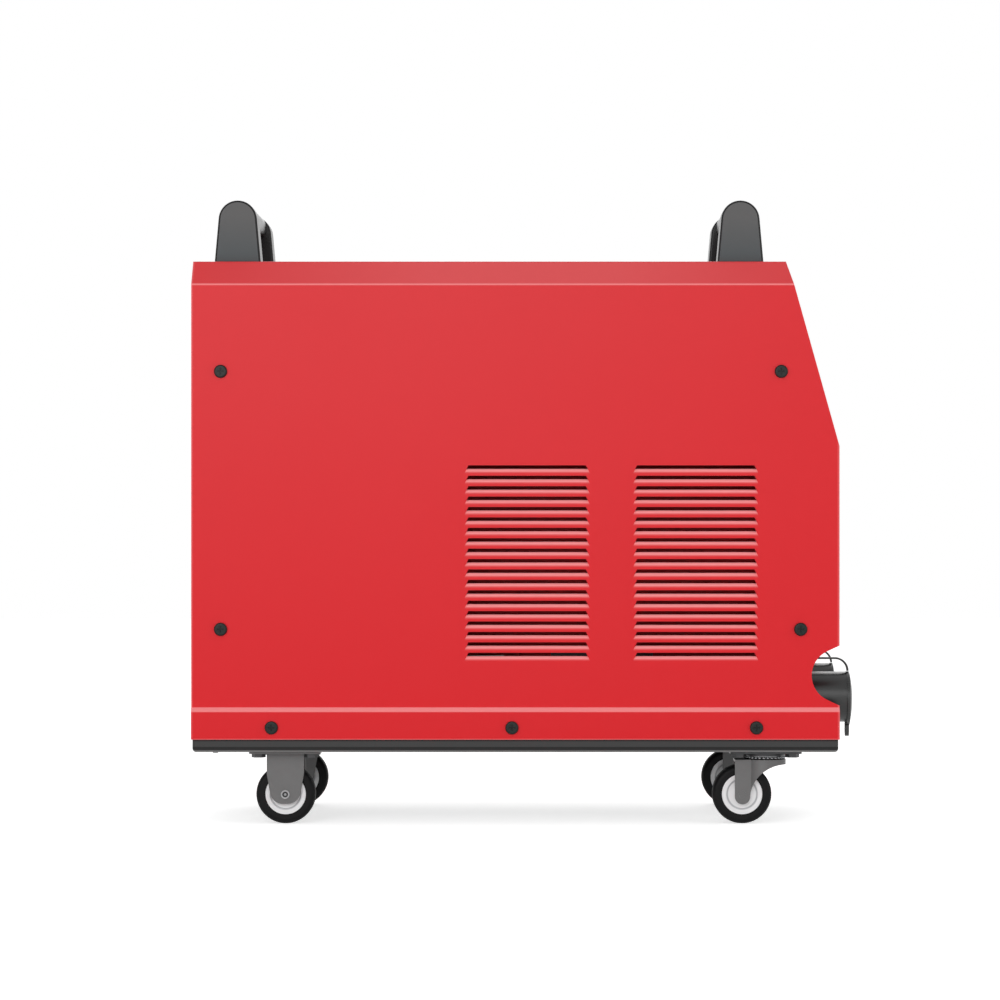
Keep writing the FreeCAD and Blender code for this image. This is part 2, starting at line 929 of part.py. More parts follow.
def control_panel():
    """Folded front panel: sloped face, upright face, step back to the sockets, deep side flanges."""
    top = top_z - hood_sheet - panel_clear
    slope_top = slope_x(top) - panel_recess * slope_stretch
    lip_back = handle_centres()[1] + washer_radius + panel_lip_gap
    path = [
        (lip_back, top),
        (slope_top, top),
        (panel_front, knee_z),
        (panel_front, step_top_z),
        (recess_x, step_foot_z),
        (recess_x, step_foot_z - step_lap),
    ]
    half = side_y - hood_sheet - panel_clear
    skin = prism("xz", folded(path, hood_sheet, panel_bend), -half, half)
    back = panel_front - panel_side_depth
    flange = prism(
        "xz",
        [
            path[1],
            path[2],
            path[3],
            (recess_x, step_foot_z),
            (back, step_foot_z),
            (back, knee_z),
            (slope_top - panel_side_depth, top),
        ],
        half - hood_sheet,
        half,
    )
    panel = skin.fuse(both_sides(flange))
    room = prism("yz", case_outline(panel_clear, floor_z), rear_x, front_x)
    panel = panel.common(room)
    cuts = screw_holes(side_screw_places() + lap_screw_places())
    cuts += [
        prism(
            "yz",
            [
                (side * front_vent_length / 2, z + rise, front_vent_height / 2.01)
                for side, rise in (
                    (-1, 0.0),
                    (1, 0.0),
                    (1, front_vent_height),
                    (-1, front_vent_height),
                )
            ],
            panel_front - 5,
            panel_front + 5,
        )
        for z in front_vent_bottoms()
    ]
    cuts += [on_slope(c) for c in slope_cutouts()]
    return panel.cut(cuts).removeSplitter()


def front_vent_bottoms():
    """The bottom edge of each vent slot in the upright face."""
    first = tray_bottom + front_vent_rise - front_vent_height
    return [first - i * front_vent_pitch for i in range(front_vent_count)]


def slope_cutouts():
    """Openings in the sloped face, in the panel's own plane."""
    deep, high = -10.0, 10.0
    cuts = [
        rod("z", gauge_radius + screw_clear, (*gauge_place, deep), high - deep),
        centred_box(window_place, window_size, (deep, high), screw_clear),
    ]
    cuts += [
        rod("z", lamp_lens_radius + screw_clear, (*place, deep), high - deep)
        for place in lamp_places
    ]
    cuts += [
        rod("z", pot_bush_radius + screw_clear, (*place, deep), high - deep)
        for place in (current_knob_place, flow_knob_place)
    ]
    cuts += [centred_box(place, rocker_cut, (deep, high), screw_clear) for place in rocker_places]
    return cuts


def centred_box(place, size, out, clear=0.0):
    """A block centred on a place of the panel, between two distances from its face."""
    half_u = size[0] / 2 + clear
    half_v = size[1] / 2 + clear
    return box(
        (place[0] - half_u, place[0] + half_u), (place[1] - half_v, place[1] + half_v), out
    )


def socket_panel():
    """Recessed lower panel behind the notches, with a foot on the tray."""
    half = side_y - hood_sheet - panel_clear
    path = [
        (socket_face, socket_panel_top),
        (socket_face, floor_z),
        (socket_face - hood_sheet - foot_width, floor_z),
    ]
    panel = prism("xz", folded(path, hood_sheet, panel_bend), -half, half)
    flange = box(
        (socket_face - foot_width, socket_face - hood_sheet / 2),
        (half - hood_sheet, half),
        (floor_z + panel_bend, step_foot_z - 2),
    )
    panel = panel.fuse(both_sides(flange))
    cuts = screw_holes(lap_screw_places() + foot_screw_places())
    behind = (socket_face - foot_width - panel_bend, socket_face - hood_sheet)
    cuts += both_sides(
        box(behind, (foot_half_length, half - hood_sheet), (floor_z - 1, floor_z + panel_bend))
    )
    for sign in (-1, 1):
        cuts.append(
            rod(
                "x",
                socket_thread_radius + screw_clear,
                (socket_face - 5, sign * socket_spread, socket_z),
                10,
            )
        )
    cuts.append(rod("x", control_socket_radius + screw_clear, (socket_face - 5, 0, socket_z), 10))
    return panel.cut(cuts).removeSplitter()


def rear_panel():
    """Recessed back: a pan whose rim runs to the hood's rear edge."""
    start = rear_x + tray_end_inset + tray_corner + panel_clear
    pan = prism("yz", rounded(case_outline(panel_clear, floor_z), panel_bend), start, rear_inner)
    hollow = prism(
        "yz",
        rounded(
            case_outline(panel_clear + hood_sheet, floor_z + hood_sheet), panel_bend - hood_sheet
        ),
        start - 1,
        rear_face,
    )
    pan = pan.cut(hollow)
    cuts = screw_holes(side_screw_places() + fan_screw_places() + foot_screw_places())
    cuts.append(rod("x", fan_bore, (rear_face - 5, 0, fan_z), 15))
    y, z = breaker_place
    cuts.append(
        box(
            (rear_face - 5, rear_inner + 5),
            (y - breaker_front[0] / 2 - screw_clear, y + breaker_front[0] / 2 + screw_clear),
            (z - breaker_front[1] / 2 - screw_clear, z + breaker_front[1] / 2 + screw_clear),
        )
    )
    for (y, z), radius in (
        (gland_place, gland_thread),
        (inlet_place, inlet_thread),
        (stud_place, bolt_radius),
    ):
        cuts.append(rod("x", radius + screw_clear, (rear_face - 5, y, z), 15))
    return pan.cut(cuts)


def rounded(points, radius):
    """Outline points with one corner radius."""
    return [(a, b, radius) for a, b in points]


def gauge_case():
    """Gauge cup with a bezel, a dial floor, a step for the lens and the needle's pin."""
    u, v = gauge_place
    cup = rod("z", gauge_radius, (u, v, -gauge_depth), gauge_depth)
    bezel = rod("z", gauge_bezel_radius, (u, v, 0), gauge_bezel_height)
    edge = [e for e in bezel.Edges if e.BoundBox.ZMin > gauge_bezel_height - 0.1]
    bezel = bezel.makeFillet(1.5, edge)
    lens_z = gauge_bezel_height - lens_thickness - 1.0
    hollow = rod("z", gauge_radius - gauge_wall - 1.0, (u, v, -dial_depth), dial_depth + lens_z + 1)
    mouth = rod("z", gauge_radius - gauge_wall, (u, v, lens_z), 10)
    pin = rod("z", needle_pin, (u, v, -dial_depth - 0.5), 3.4)
    return on_slope(cup.fuse(bezel).cut([hollow, mouth]).fuse(pin).removeSplitter())


def gauge_lens():
    """Clear disc seated in the bezel."""
    u, v = gauge_place
    lens_z = gauge_bezel_height - lens_thickness - 1.0
    return on_slope(
        rod("z", gauge_radius - gauge_wall - screw_clear, (u, v, lens_z), lens_thickness)
    )


def gauge_needle():
    """Pointer with a round hub on the gauge's pin, resting at the dial's zero."""
    thickness = 0.7
    low = -dial_depth + 1.0
    hub = rod("z", 3.0, (0, 0, low), 1.4)
    pointer = prism(
        "xy",
        [(-needle_tail, -1.6), (needle_length, -0.4), (needle_length, 0.4), (-needle_tail, 1.6)],
        low,
        low + thickness,
    )
    needle = hub.fuse(pointer).cut(rod("z", needle_pin + running_clear, (0, 0, -9), 18))
    needle.rotate(V(0, 0, 0), V(0, 0, 1), math.degrees(needle_rest_angle))
    needle.translate(V(*gauge_place, 0))
    return on_slope(needle)


def display_window():
    """Tinted window: a plate in the panel's opening with a thin rim on its face."""
    plug = centred_box(window_place, window_size, (-hood_sheet - 0.5, 0))
    rim_size = (window_size[0] + 2 * window_rim, window_size[1] + 2 * window_rim)
    rim = centred_box(window_place, rim_size, (0, window_rim_height))
    upright = [e for e in rim.Edges if e.BoundBox.ZLength > 1]
    rim = rim.makeFillet(3.0, upright)
    return on_slope(plug.fuse(rim).removeSplitter())


def control_board():
    """Board behind the slope with its display block, lamp posts and potentiometers, nuts on the face."""
    board = centred_box(board_centre, board_size, (-board_depth - board_thickness, -board_depth))
    board = board.cut(rod("z", gauge_radius + 2, (*gauge_place, -40), 40))
    solids = [board]
    display_size = (window_size[0] - display_margin, window_size[1] - display_margin)
    solids.append(centred_box(window_place, display_size, (-board_depth, -display_depth)))
    for place in (current_knob_place, flow_knob_place):
        bore = rod("z", spindle_radius + running_clear, (*place, -board_depth + 3), 60)
        face = -hood_sheet
        body = rod("z", pot_radius, (*place, -board_depth), board_depth + face - 1.0)
        bush = rod("z", pot_bush_radius, (*place, face - 1.0), 1.0 - face + pot_bush_height)
        shoulder = rod("z", pot_bush_radius + 2, (*place, face - 1.0), 1.0)
        solids.append(body.fuse([bush, shoulder]).cut(bore).removeSplitter())
        nut = hexagon("z", pot_nut_flats, (*place, 0), pot_nut_height)
        nut = nut.cut(rod("z", pot_bush_radius + running_clear, (*place, -1), 10))
        solids.append(nut)
    for place in lamp_places:
        solids.append(rod("z", 2.0, (*place, -board_depth), board_depth - lamp_body_depth))
    return on_slope(group(solids))


def knob(place, radius, height):
    """Fluted knob with a pointer groove, and the spindle it is pinned to."""
    low = pot_nut_height + knob_gap
    body = Part.makeCone(radius, radius * 0.9, height, V(0, 0, low))
    edge = [e for e in body.Edges if e.BoundBox.ZMin > low + height - 0.1]
    body = body.makeFillet(1.6, edge)
    skirt = rod("z", radius + 1.5, (0, 0, low), 2.5)
    flutes = []
    for i in range(knob_flutes):
        angle = 2 * math.pi * (i + 0.5) / knob_flutes
        reach = radius * 0.97
        flutes.append(
            rod(
                "z",
                knob_flute_radius,
                (reach * math.cos(angle), reach * math.sin(angle), low + 4.0),
                height,
            )
        )
    top = low + height
    pointer = box(
        (-pointer_width / 2, pointer_width / 2),
        (radius * 0.25, radius * 1.2),
        (top - pointer_depth, top + 1),
    )
    well = rod("z", pot_nut_flats / 2 + 2.5, (0, 0, low - 1), 1 + max(pot_bush_height - low, 0) + 1.5)
    socket_top = low + height * 0.7
    bore = rod("z", spindle_radius, (0, 0, low - 1), socket_top - low + 1)
    cap = body.fuse(skirt).cut(flutes + [pointer, well, bore]).removeSplitter()
    spindle_bottom = -board_depth + 4.0
    spindle = rod("z", spindle_radius, (0, 0, spindle_bottom), socket_top - spindle_bottom)
    both = group([cap, spindle])
    both.translate(V(*place, 0))
    return on_slope(both)


def rocker_housings():
    """Two snap-in frames with their switch bodies, open at the front for the rockers."""
    housings = []
    for u, v in rocker_places:
        bezel = centred_box((u, v), rocker_bezel, (0, rocker_bezel_height))
        upright = [e for e in bezel.Edges if e.BoundBox.ZLength > 1]
        bezel = bezel.makeFillet(2.0, upright)
        body = centred_box((u, v), rocker_cut, (-rocker_body_depth, 0))
        well = rod(
            "x",
            rocker_arc + rubber_clear,
            (u - rocker_width / 2 - rubber_clear, v, -rocker_pivot_depth),
            rocker_width + 2 * rubber_clear,
        )
        pins = rod(
            "x",
            rocker_pin + running_clear,
            (u - rocker_width / 2 - 1.2, v, -rocker_pivot_depth),
            rocker_width + 2.4,
        )
        housings.append(bezel.fuse(body).cut([well, pins]).removeSplitter())
    return on_slope(group(housings))


def rocker(place):
    """One rocker: a round-bottomed cap with two faces meeting at a crest, tipped to its rest side."""
    u, v = place
    width = rocker_width
    drum = rod("x", rocker_arc, (-width / 2, 0, 0), width)
    crest = rocker_pivot_depth + rocker_crest
    reach = 2 * rocker_arc
    fall = reach * math.tan(rocker_tilt)
    wedge = prism(
        "yz",
        [(-reach, crest - fall), (0, crest), (reach, crest - fall), (reach, 40), (-reach, 40)],
        -width,
        width,
    )
    under = box((-width, width), (-reach, reach), (-40, -5.0))
    body = drum.cut([wedge, under])
    pins = rod("x", rocker_pin, (-width / 2 - 1.0, 0, 0), width + 2.0)
    body = body.fuse(pins).removeSplitter()
    body.rotate(V(0, 0, 0), V(1, 0, 0), math.degrees(rocker_tilt))
    body.translate(V(u, v, -rocker_pivot_depth))
    return on_slope(body)


def indicator_lamps():
    """Three lamp holders, each with a bezel and a domed lens in one piece."""
    lamps = []
    for u, v in lamp_places:
        barrel = rod("z", lamp_lens_radius, (u, v, -lamp_body_depth), lamp_body_depth)
        bezel = rod("z", lamp_bezel_radius, (u, v, 0), lamp_bezel_height)
        dome = Part.makeSphere(lamp_lens_radius, V(u, v, lamp_bezel_height - 1.2))
        dome = dome.common(centred_box((u, v), (20, 20), (0, 20)))
        lamps.append(barrel.fuse([bezel, dome]).removeSplitter())
    return on_slope(group(lamps))


def socket_body(side):
    """Insulating socket: flange on the panel, neck under the cap, threaded tail and nut behind."""
    y = side * socket_spread
    flange_front = socket_face + socket_flange_thickness
    nose_x = front_x + socket_nose
    flange = rod("x", socket_flange_radius, (socket_face, y, socket_z), socket_flange_thickness)
    neck = rod("x", socket_neck_radius, (flange_front, y, socket_z), nose_x - flange_front)
    edge = [e for e in neck.Edges if e.BoundBox.XMin > nose_x - 0.1]
    neck = neck.makeFillet(1.5, edge)
    tail = rod("x", socket_thread_radius, (socket_face, y, socket_z), -socket_thread_length)
    nut = hexagon(
        "x", socket_nut_flats, (socket_face - hood_sheet, y, socket_z), -socket_nut_thickness
    ).cut(
        rod(
            "x",
            socket_thread_radius + running_clear,
            (socket_face - hood_sheet + 1, y, socket_z),
            -socket_nut_thickness - 2,
        )
    )
    return y, nose_x, flange.fuse([neck, tail]).removeSplitter(), nut


def earth_socket():
    """Bayonet socket for the work lead, with its brass insert."""
    y, nose_x, body, nut = socket_body(1)
    insert = tube(
        "x",
        socket_insert_radius,
        socket_bore,
        (nose_x - insert_sink, y, socket_z),
        -socket_insert_length,
    )
    keyway = box(
        (nose_x - 12, nose_x + 1),
        (y - 1.6, y + 1.6),
        (socket_z, socket_z + socket_bore + 3),
    )
    mouth = rod("x", socket_bore + 2, (nose_x + 1, y, socket_z), -4)
    cavity = rod(
        "x", socket_insert_radius, (nose_x - insert_sink, y, socket_z), -socket_insert_length
    )
    body = body.cut([cavity, mouth])
    return group([body, insert.cut(keyway), nut])


def torch_socket():
    """Central torch socket: a threaded ring with the air and pilot pin in its middle."""
    y, nose_x, body, nut = socket_body(-1)
    floor_x = nose_x - socket_bore_depth
    well = rod("x", torch_core_radius, (floor_x, y, socket_z), socket_bore_depth + 1)
    ring = tube(
        "x",
        torch_core_radius,
        torch_core_radius - torch_core_wall,
        (floor_x, y, socket_z),
        socket_bore_depth - torch_core_sink,
    )
    pin = tube("x", torch_pin_radius, hose_bore, (floor_x, y, socket_z), socket_bore_depth - torch_pin_sink)
    tail_x = socket_face - socket_thread_length
    barb_radius = hose_bore - running_clear
    barb = tube("x", barb_radius, air_passage, (tail_x, y, socket_z), -hose_tail)
    passage = rod("x", air_passage, (floor_x + 1, y, socket_z), tail_x - floor_x - 2)
    return group([body.cut([well, passage]).fuse([pin, barb]).removeSplitter(), ring, nut])


def dust_cap(side):
    """Rubber cup over a socket's neck, with a rim, a domed front and a pull tab."""
    y = side * socket_spread
    dome_edge = cap_front - cap_dome
    rim_back = dome_edge - cap_rim_thickness
    disc_z = socket_z - cap_disc_drop
    cup = rod("x", cap_radius, (cap_back, y, socket_z), rim_back - cap_back)
    rim = rod("x", cap_rim_radius, (rim_back, y, disc_z), cap_rim_thickness)
    ball = (cap_rim_radius**2 + cap_dome**2) / (2 * cap_dome)
    dome = Part.makeSphere(ball, V(cap_front - ball, y, disc_z))
    dome = dome.common(rod("x", cap_rim_radius, (dome_edge - 0.5, y, disc_z), cap_dome + 2))
    width, thickness, drop = cap_tab
    tab_top = disc_z - cap_rim_radius + 3
    tab = prism(
        "yz",
        [
            (y - width / 2, tab_top - drop, width / 2.01),
            (y + width / 2, tab_top - drop, width / 2.01),
            (y + width / 2, tab_top),
            (y - width / 2, tab_top),
        ],
        rim_back - 0.8,
        rim_back - 0.8 + thickness,
    )
    floor_x = front_x + socket_nose + rubber_clear
    hollow = rod(
        "x",
        socket_neck_radius + rubber_clear,
        (cap_back - 1, y, socket_z),
        floor_x - cap_back + 1,
    )
    return cup.fuse([rim, dome, tab]).cut(hollow).removeSplitter()


def cap_strap(side):
    """Moulded tether: a ring behind the cap, and a band that arches forward to the cap's rim."""
    y = side * socket_spread
    ring_x = socket_face + socket_flange_thickness + 0.1
    ring = tube(
        "x",
        cap_radius + 1.0,
        socket_neck_radius + rubber_clear,
        (ring_x, y, socket_z),
        strap_ring,
    )
    ring_top = socket_z + cap_radius
    high = ring_top + strap_rise
    front = cap_front - cap_dome - rubber_clear
    rim_top = socket_z - cap_disc_drop + cap_rim_radius
    path = [
        (ring_x, ring_top - 0.5),
        (ring_x, high),
        (front, high),
        (front, rim_top + rubber_clear),
    ]
    section = folded(path, strap_thickness, strap_rear_bend)
    section[2] = (*section[2][:2], strap_front_bend)
    section[5] = (*section[5][:2], strap_front_bend - strap_thickness)
    band = prism("xz", section, y - strap_width / 2, y + strap_width / 2)
    return ring.fuse(band).removeSplitter()


def control_socket():
    """Round multi-pin socket for the torch switch lead."""
    flange = rod("x", control_socket_flange, (socket_face, 0, socket_z), 2.0)
    nose = rod("x", control_socket_radius, (socket_face, 0, socket_z), control_socket_length)
    tail = rod("x", control_socket_radius, (socket_face, 0, socket_z), -10)
    well = rod(
        "x",
        control_socket_radius - 1.5,
        (socket_face + control_socket_length + 1, 0, socket_z),
        -control_well_depth - 1,
    )
    floor_x = socket_face + control_socket_length - control_well_depth
    pins = [
        rod(
            "x",
            control_pin_radius,
            (
                floor_x - 1,
                control_pin_circle * math.cos(math.pi * (0.25 + i / 2)),
                socket_z + control_pin_circle * math.sin(math.pi * (0.25 + i / 2)),
            ),
            7,
        )
        for i in range(4)
    ]
    body = flange.fuse([nose, tail]).cut(well).fuse(pins)
    nut = tube(
        "x",
        control_socket_flange,
        control_socket_radius + running_clear,
        (socket_face - hood_sheet, 0, socket_z),
        -3.0,
    )
    return group([body.removeSplitter(), nut])


def breaker_body():
    """Supply breaker behind the rear panel, its front through the panel, hollow round the lever's drum."""
    y, z = breaker_place
    front = box(
        (rear_face - breaker_stand, rear_inner),
        (y - breaker_front[0] / 2, y + breaker_front[0] / 2),
        (z - breaker_front[1] / 2, z + breaker_front[1] / 2),
    )
    body = box(
        (rear_inner, rear_inner + breaker_body_depth),
        (y - breaker_front[0] / 2, y + breaker_front[0] / 2),
        (z - breaker_body_height / 2, z + breaker_body_height / 2),
    )
    half = lever_width / 2 + 0.4
    pivot = (lever_pivot_x(), y, z)
    well = rod("y", lever_drum + 0.4, (pivot[0], y - half, z), 2 * half)
    pins = rod("y", lever_pin + running_clear, (pivot[0], y - half - 2.2, z), 2 * half + 4.4)
    return front.fuse(body).cut([well, pins]).removeSplitter()


def lever_pivot_x():
    """The lever's pivot lies a little inside the breaker's front."""
    return rear_face - breaker_stand + lever_pivot_depth


def breaker_lever():
    """Lever drum with a bar handle, resting down at off."""
    y, z = breaker_place
    half = lever_width / 2
    drum = rod("y", lever_drum, (0, -half, 0), lever_width)
    bar = prism(
        "xz",
        [
            (0, -lever_thickness / 2),
            (-lever_reach, -lever_thickness / 2 + 0.8, 1.2),
            (-lever_reach, lever_thickness / 2 - 0.8, 1.2),
            (0, lever_thickness / 2),
        ],
        -half + 1,
        half - 1,
    )
    pins = rod("y", lever_pin, (0, -half - 2.0, 0), lever_width + 4.0)
    lever = drum.fuse([bar, pins]).removeSplitter()
    lever.rotate(V(0, 0, 0), V(0, 1, 0), math.degrees(lever_rest))
    lever.translate(V(lever_pivot_x(), y, z))
    return lever


def cable_gland():
    """Gland for the supply lead: hexagon body, dome nut and lock nut, open through the middle."""
    y, z = gland_place
    body = hexagon("x", gland_flats, (rear_face, y, z), -gland_hex)
    shank = rod("x", gland_thread, (rear_face, y, z), hood_sheet + gland_tail)
    neck = rod("x", gland_dome_radius - 3, (rear_face - gland_hex, y, z), -12)
    dome = rod("x", gland_dome_radius, (rear_face - gland_hex - gland_gap, y, z), -gland_dome)
    edge = [e for e in dome.Edges if e.BoundBox.XMax < rear_face - gland_hex - gland_dome]
    dome = dome.makeFillet(5.0, edge)
    dome = dome.cut(
        rod("x", gland_dome_radius - 3 + running_clear, (rear_face - gland_hex, y, z), -12.5)
    )
    bore = rod("x", gland_bore, (rear_inner + 30, y, z), -90)
    lock = hexagon("x", gland_flats, (rear_inner, y, z), 6).cut(
        rod("x", gland_thread + running_clear, (rear_inner - 1, y, z), 8)
    )
    return group([body.fuse([shank, neck]).cut(bore).removeSplitter(), dome.cut(bore), lock])


def air_inlet():
    """Brass hose tail with a hexagon, screwed through the panel into the valve."""
    y, z = inlet_place
    body = hexagon("x", inlet_flats, (rear_face, y, z), -inlet_hex)
    shank = rod("x", inlet_thread, (rear_face, y, z), hood_sheet + 9)
    tail = rod("x", inlet_tail_radius, (rear_face - inlet_hex, y, z), -inlet_tail)
    parts = [shank, tail]
    for i in range(3):
        start = rear_face - inlet_hex - inlet_tail + 5.0 * (i + 1)
        parts.append(
            Part.makeCone(
                inlet_tail_radius + 0.7, inlet_tail_radius, 4.0, V(start, y, z), V(-1, 0, 0)
            )
        )
    bore = rod("x", inlet_bore, (rear_face + 30, y, z), -80)
    return body.fuse(parts).cut(bore).removeSplitter()


def earth_stud():
    """Protective earth stud with a hexagonal collar, its washer, and the nut inside."""
    y, z = stud_place
    stud = rod("x", bolt_radius, (rear_inner + 12, y, z), rear_face - stud_length - rear_inner - 12)
    collar = hexagon("x", bolt_head_flats, (rear_face - washer_thickness, y, z), -nut_height)
    washer = rod("x", washer_radius, (rear_face, y, z), -washer_thickness)
    nut = hexagon("x", bolt_head_flats, (rear_inner, y, z), nut_height)
    bore = rod("x", bolt_radius + running_clear, (rear_inner + 20, y, z), -60)
    return group([stud.fuse(collar).removeSplitter(), washer.cut(bore), nut.cut(bore)])


def fan_guard():
    """Wire guard: rings on a cross of wires with an eye at each corner screw."""
    ring_x = rear_face - guard_stand
    rings = [
        Part.makeTorus(radius, guard_wire, V(ring_x, 0, fan_z), V(1, 0, 0))
        for radius in guard_rings
    ]
    arm_x = rear_face - guard_wire
    arms = []
    for angle in (45.0, 135.0):
        direction = V(0, math.cos(math.radians(angle)), math.sin(math.radians(angle)))
        reach = fan_screw_spread * math.sqrt(2)
        start = V(arm_x, 0, fan_z) - direction * reach
        arms.append(Part.makeCylinder(guard_wire, 2 * reach, start, direction))
    eyes = []
    holes = []
    for y in (-fan_screw_spread, fan_screw_spread):
        for z in (-fan_screw_spread, fan_screw_spread):
            eyes.append(rod("x", 6.5, (rear_face, y, fan_z + z), -guard_eye))
            holes.append(rod("x", screw_radius + screw_clear, (rear_face + 5, y, fan_z + z), -20))
    guard = rings[0].fuse(rings[1:] + arms + eyes)
    behind = box((rear_face, rear_face + 20), (-150, 150), (fan_z - 150, fan_z + 150))
    return guard.cut(holes + [behind])


def fan_frame():
    """Square fan housing on the rear panel's inner face, with three struts to its motor and spindle."""
    half = fan_size / 2
    x0, x1 = rear_inner, rear_inner + fan_depth
    frame = prism(
        "yz",
        rounded(
            [
                (-half, fan_z - half),
                (half, fan_z - half),
                (half, fan_z + half),
                (-half, fan_z + half),
            ],
            fan_corner,
        ),
        x0,
        x1,
    )
    frame = frame.cut(rod("x", fan_bore, (x0 - 1, 0, fan_z), fan_depth + 2))
    frame = frame.cut(screw_holes(fan_screw_places()))
    stator_x = x1 - fan_stator_thickness
    stator = rod("x", fan_hub, (stator_x, 0, fan_z), fan_stator_thickness)
    spindle = rod("x", fan_spindle, (stator_x + 1, 0, fan_z), x0 + 8 - stator_x - 1)
    struts = []
    for i in range(3):
        angle = math.radians(90 + 120 * i)
        strut = box((x1 - 4, x1), (fan_hub - 2, fan_bore + 2), (-fan_strut / 2, fan_strut / 2))
        strut.rotate(V(0, 0, 0), V(1, 0, 0), math.degrees(angle))
        strut.translate(V(0, 0, fan_z))
        struts.append(strut)
    return frame.fuse([stator, spindle] + struts).removeSplitter()


def fan_rotor():
    """Fan hub with pitched blades, running on the spindle."""
    x0 = rear_inner + fan_face_gap
    x1 = rear_inner + fan_depth - fan_stator_thickness - 1
    length = x1 - x0
    hub = rod("x", fan_hub, (x0, 0, 0), length)
    bounds = rod("x", fan_bore - fan_tip_gap, (x0, 0, 0), length)
    blade_chord = (length - fan_blade_thickness) * 0.98 / math.cos(fan_blade_angle)
    blades = []
    for i in range(fan_blades):
        blade = box(
            (-blade_chord / 2, blade_chord / 2),
            (-fan_blade_thickness / 2, fan_blade_thickness / 2),
            (fan_hub - 3, fan_bore + 5),
        )
        blade.rotate(V(0, 0, 0), V(0, 0, 1), math.degrees(fan_blade_angle))
        blade.translate(V((x0 + x1) / 2, 0, 0))
        blade.rotate(V(0, 0, 0), V(1, 0, 0), 360.0 * i / fan_blades)
        blades.append(blade.common(bounds))
    rotor = hub.fuse(blades).cut(rod("x", fan_spindle + running_clear, (x0 - 5, 0, 0), length + 10))
    rotor = rotor.removeSplitter()
    rotor.translate(V(0, 0, fan_z))
    return rotor


def sink_start():
    """The heat sink starts a little in front of the fan."""
    return rear_inner + fan_depth + sink_gap


def divider_plate():
    """Upright sheet in front of the heat sink that parts the case down its middle, on a folded foot."""
    x = (sink_start() + sink_length + divider_gap, sink_start() + sink_length + divider_length)
    rear = x[0] - divider_rear
    path = [(0.0, tray_bottom + divider_rise), (0.0, floor_z), (divider_foot, floor_z)]
    turned_path = [(-a, b) for a, b in path]
    sheet = prism("yz", folded(turned_path, divider_sheet, panel_bend), rear, x[1])
    below = box(
        (rear - 1, x[0]),
        (-divider_foot - 10, divider_sheet + 10),
        (floor_z - 1, tray_bottom + divider_rear_rise),
    )
    return sheet.cut([below] + screw_holes(foot_screw_places()))


def heat_sink():
    """Finned block standing on its fins in the fan's air, base upwards."""
    x = (sink_start(), sink_start() + sink_length)
    half = sink_width / 2
    top = floor_z + sink_height
    base = box(x, (-half, half), (top - sink_base, top))
    pitch = (sink_width - sink_fin) / (sink_fins - 1)
    fins = [
        box(
            x,
            (-half + i * pitch, -half + i * pitch + sink_fin),
            (floor_z, top - sink_base),
        )
        for i in range(sink_fins)
    ]
    return base.fuse(fins).removeSplitter()


def power_modules():
    """Four power modules, flat on the heat sink's base and soldered to the board above."""
    length, width, height = module_size
    low = floor_z + sink_height
    modules = []
    for i in range(2):
        for j in range(2):
            x = sink_start() + module_start + i * (length + module_gap[0])
            y = -width - module_gap[1] / 2 + j * (width + module_gap[1])
            modules.append(box((x, x + length), (y, y + width), (low, low + height)))
    return modules


def inverter_board():
    """Inverter board with the power modules under it and the bus capacitors on it."""
    low = floor_z + sink_height + module_size[2]
    x = sink_start() + inverter_board_start
    board = box(
        (x, x + inverter_board_size[0]),
        (-inverter_board_size[1] / 2, inverter_board_size[1] / 2),
        (low, low + board_thickness),
    )
    top = low + board_thickness
    solids = [board] + power_modules()
    for i in range(3):
        for y in (-capacitor_spread, capacitor_spread):
            place = (x + capacitor_start + capacitor_pitch * i, y, top)
            solids.append(rod("z", capacitor_radius, place, capacitor_height))
    start = x + block_start
    for length, width, height in (filter_block, driver_block):
        solids.append(box((start, start + length), (-width / 2, width / 2), (top, top + height)))
        start += length + block_gap
    return group(solids)


def core_place():
    """Low corner of the main transformer's core on the tray."""
    return (sink_start() + sink_length + core_sink_gap, -core_size[1] - core_middle_gap)


def transformer_core():
    """Closed ferrite frame with a centre leg, standing on the tray."""
    x, y = core_place()
    length, width, height = core_size
    core = box((x, x + length), (y, y + width), (floor_z, floor_z + height))
    window = (length - 2 * core_leg - core_centre) / 2
    for start in (x + core_leg, x + core_leg + window + core_centre):
        core = core.cut(
            box(
                (start, start + window),
                (y - 1, y + width + 1),
                (floor_z + core_yoke, floor_z + height - core_yoke),
            )
        )
    return core


def transformer_winding():
    """The winding stack round the core's centre leg."""
    x, y = core_place()
    length, width, height = core_size
    low = floor_z + core_yoke + coil_clear
    high = floor_z + height - core_yoke - coil_clear
    mid = x + length / 2
    half_in = core_centre / 2 + coil_clear
    inner_y = (y - coil_clear, y + width + coil_clear)
    outer = box(
        (mid - half_in - coil_wall, mid + half_in + coil_wall),
        (inner_y[0] - coil_wall, inner_y[1] + coil_wall),
        (low, high),
    )
    upright = [e for e in outer.Edges if e.BoundBox.ZLength > 10]
    outer = outer.makeFillet(8.0, upright)
    return outer.cut(box((mid - half_in, mid + half_in), inner_y, (low - 1, high + 1)))


def output_choke():
    """Wound ring choke lying on the tray."""
    x = core_place()[0]
    centre = (x + core_size[0] / 2, choke_y)
    ring = tube("z", choke_radius, choke_hole, (*centre, floor_z), choke_height)
    rims = [e for e in ring.Edges if e.BoundBox.ZLength < 0.1]
    return ring.makeFillet(5.0, rims)


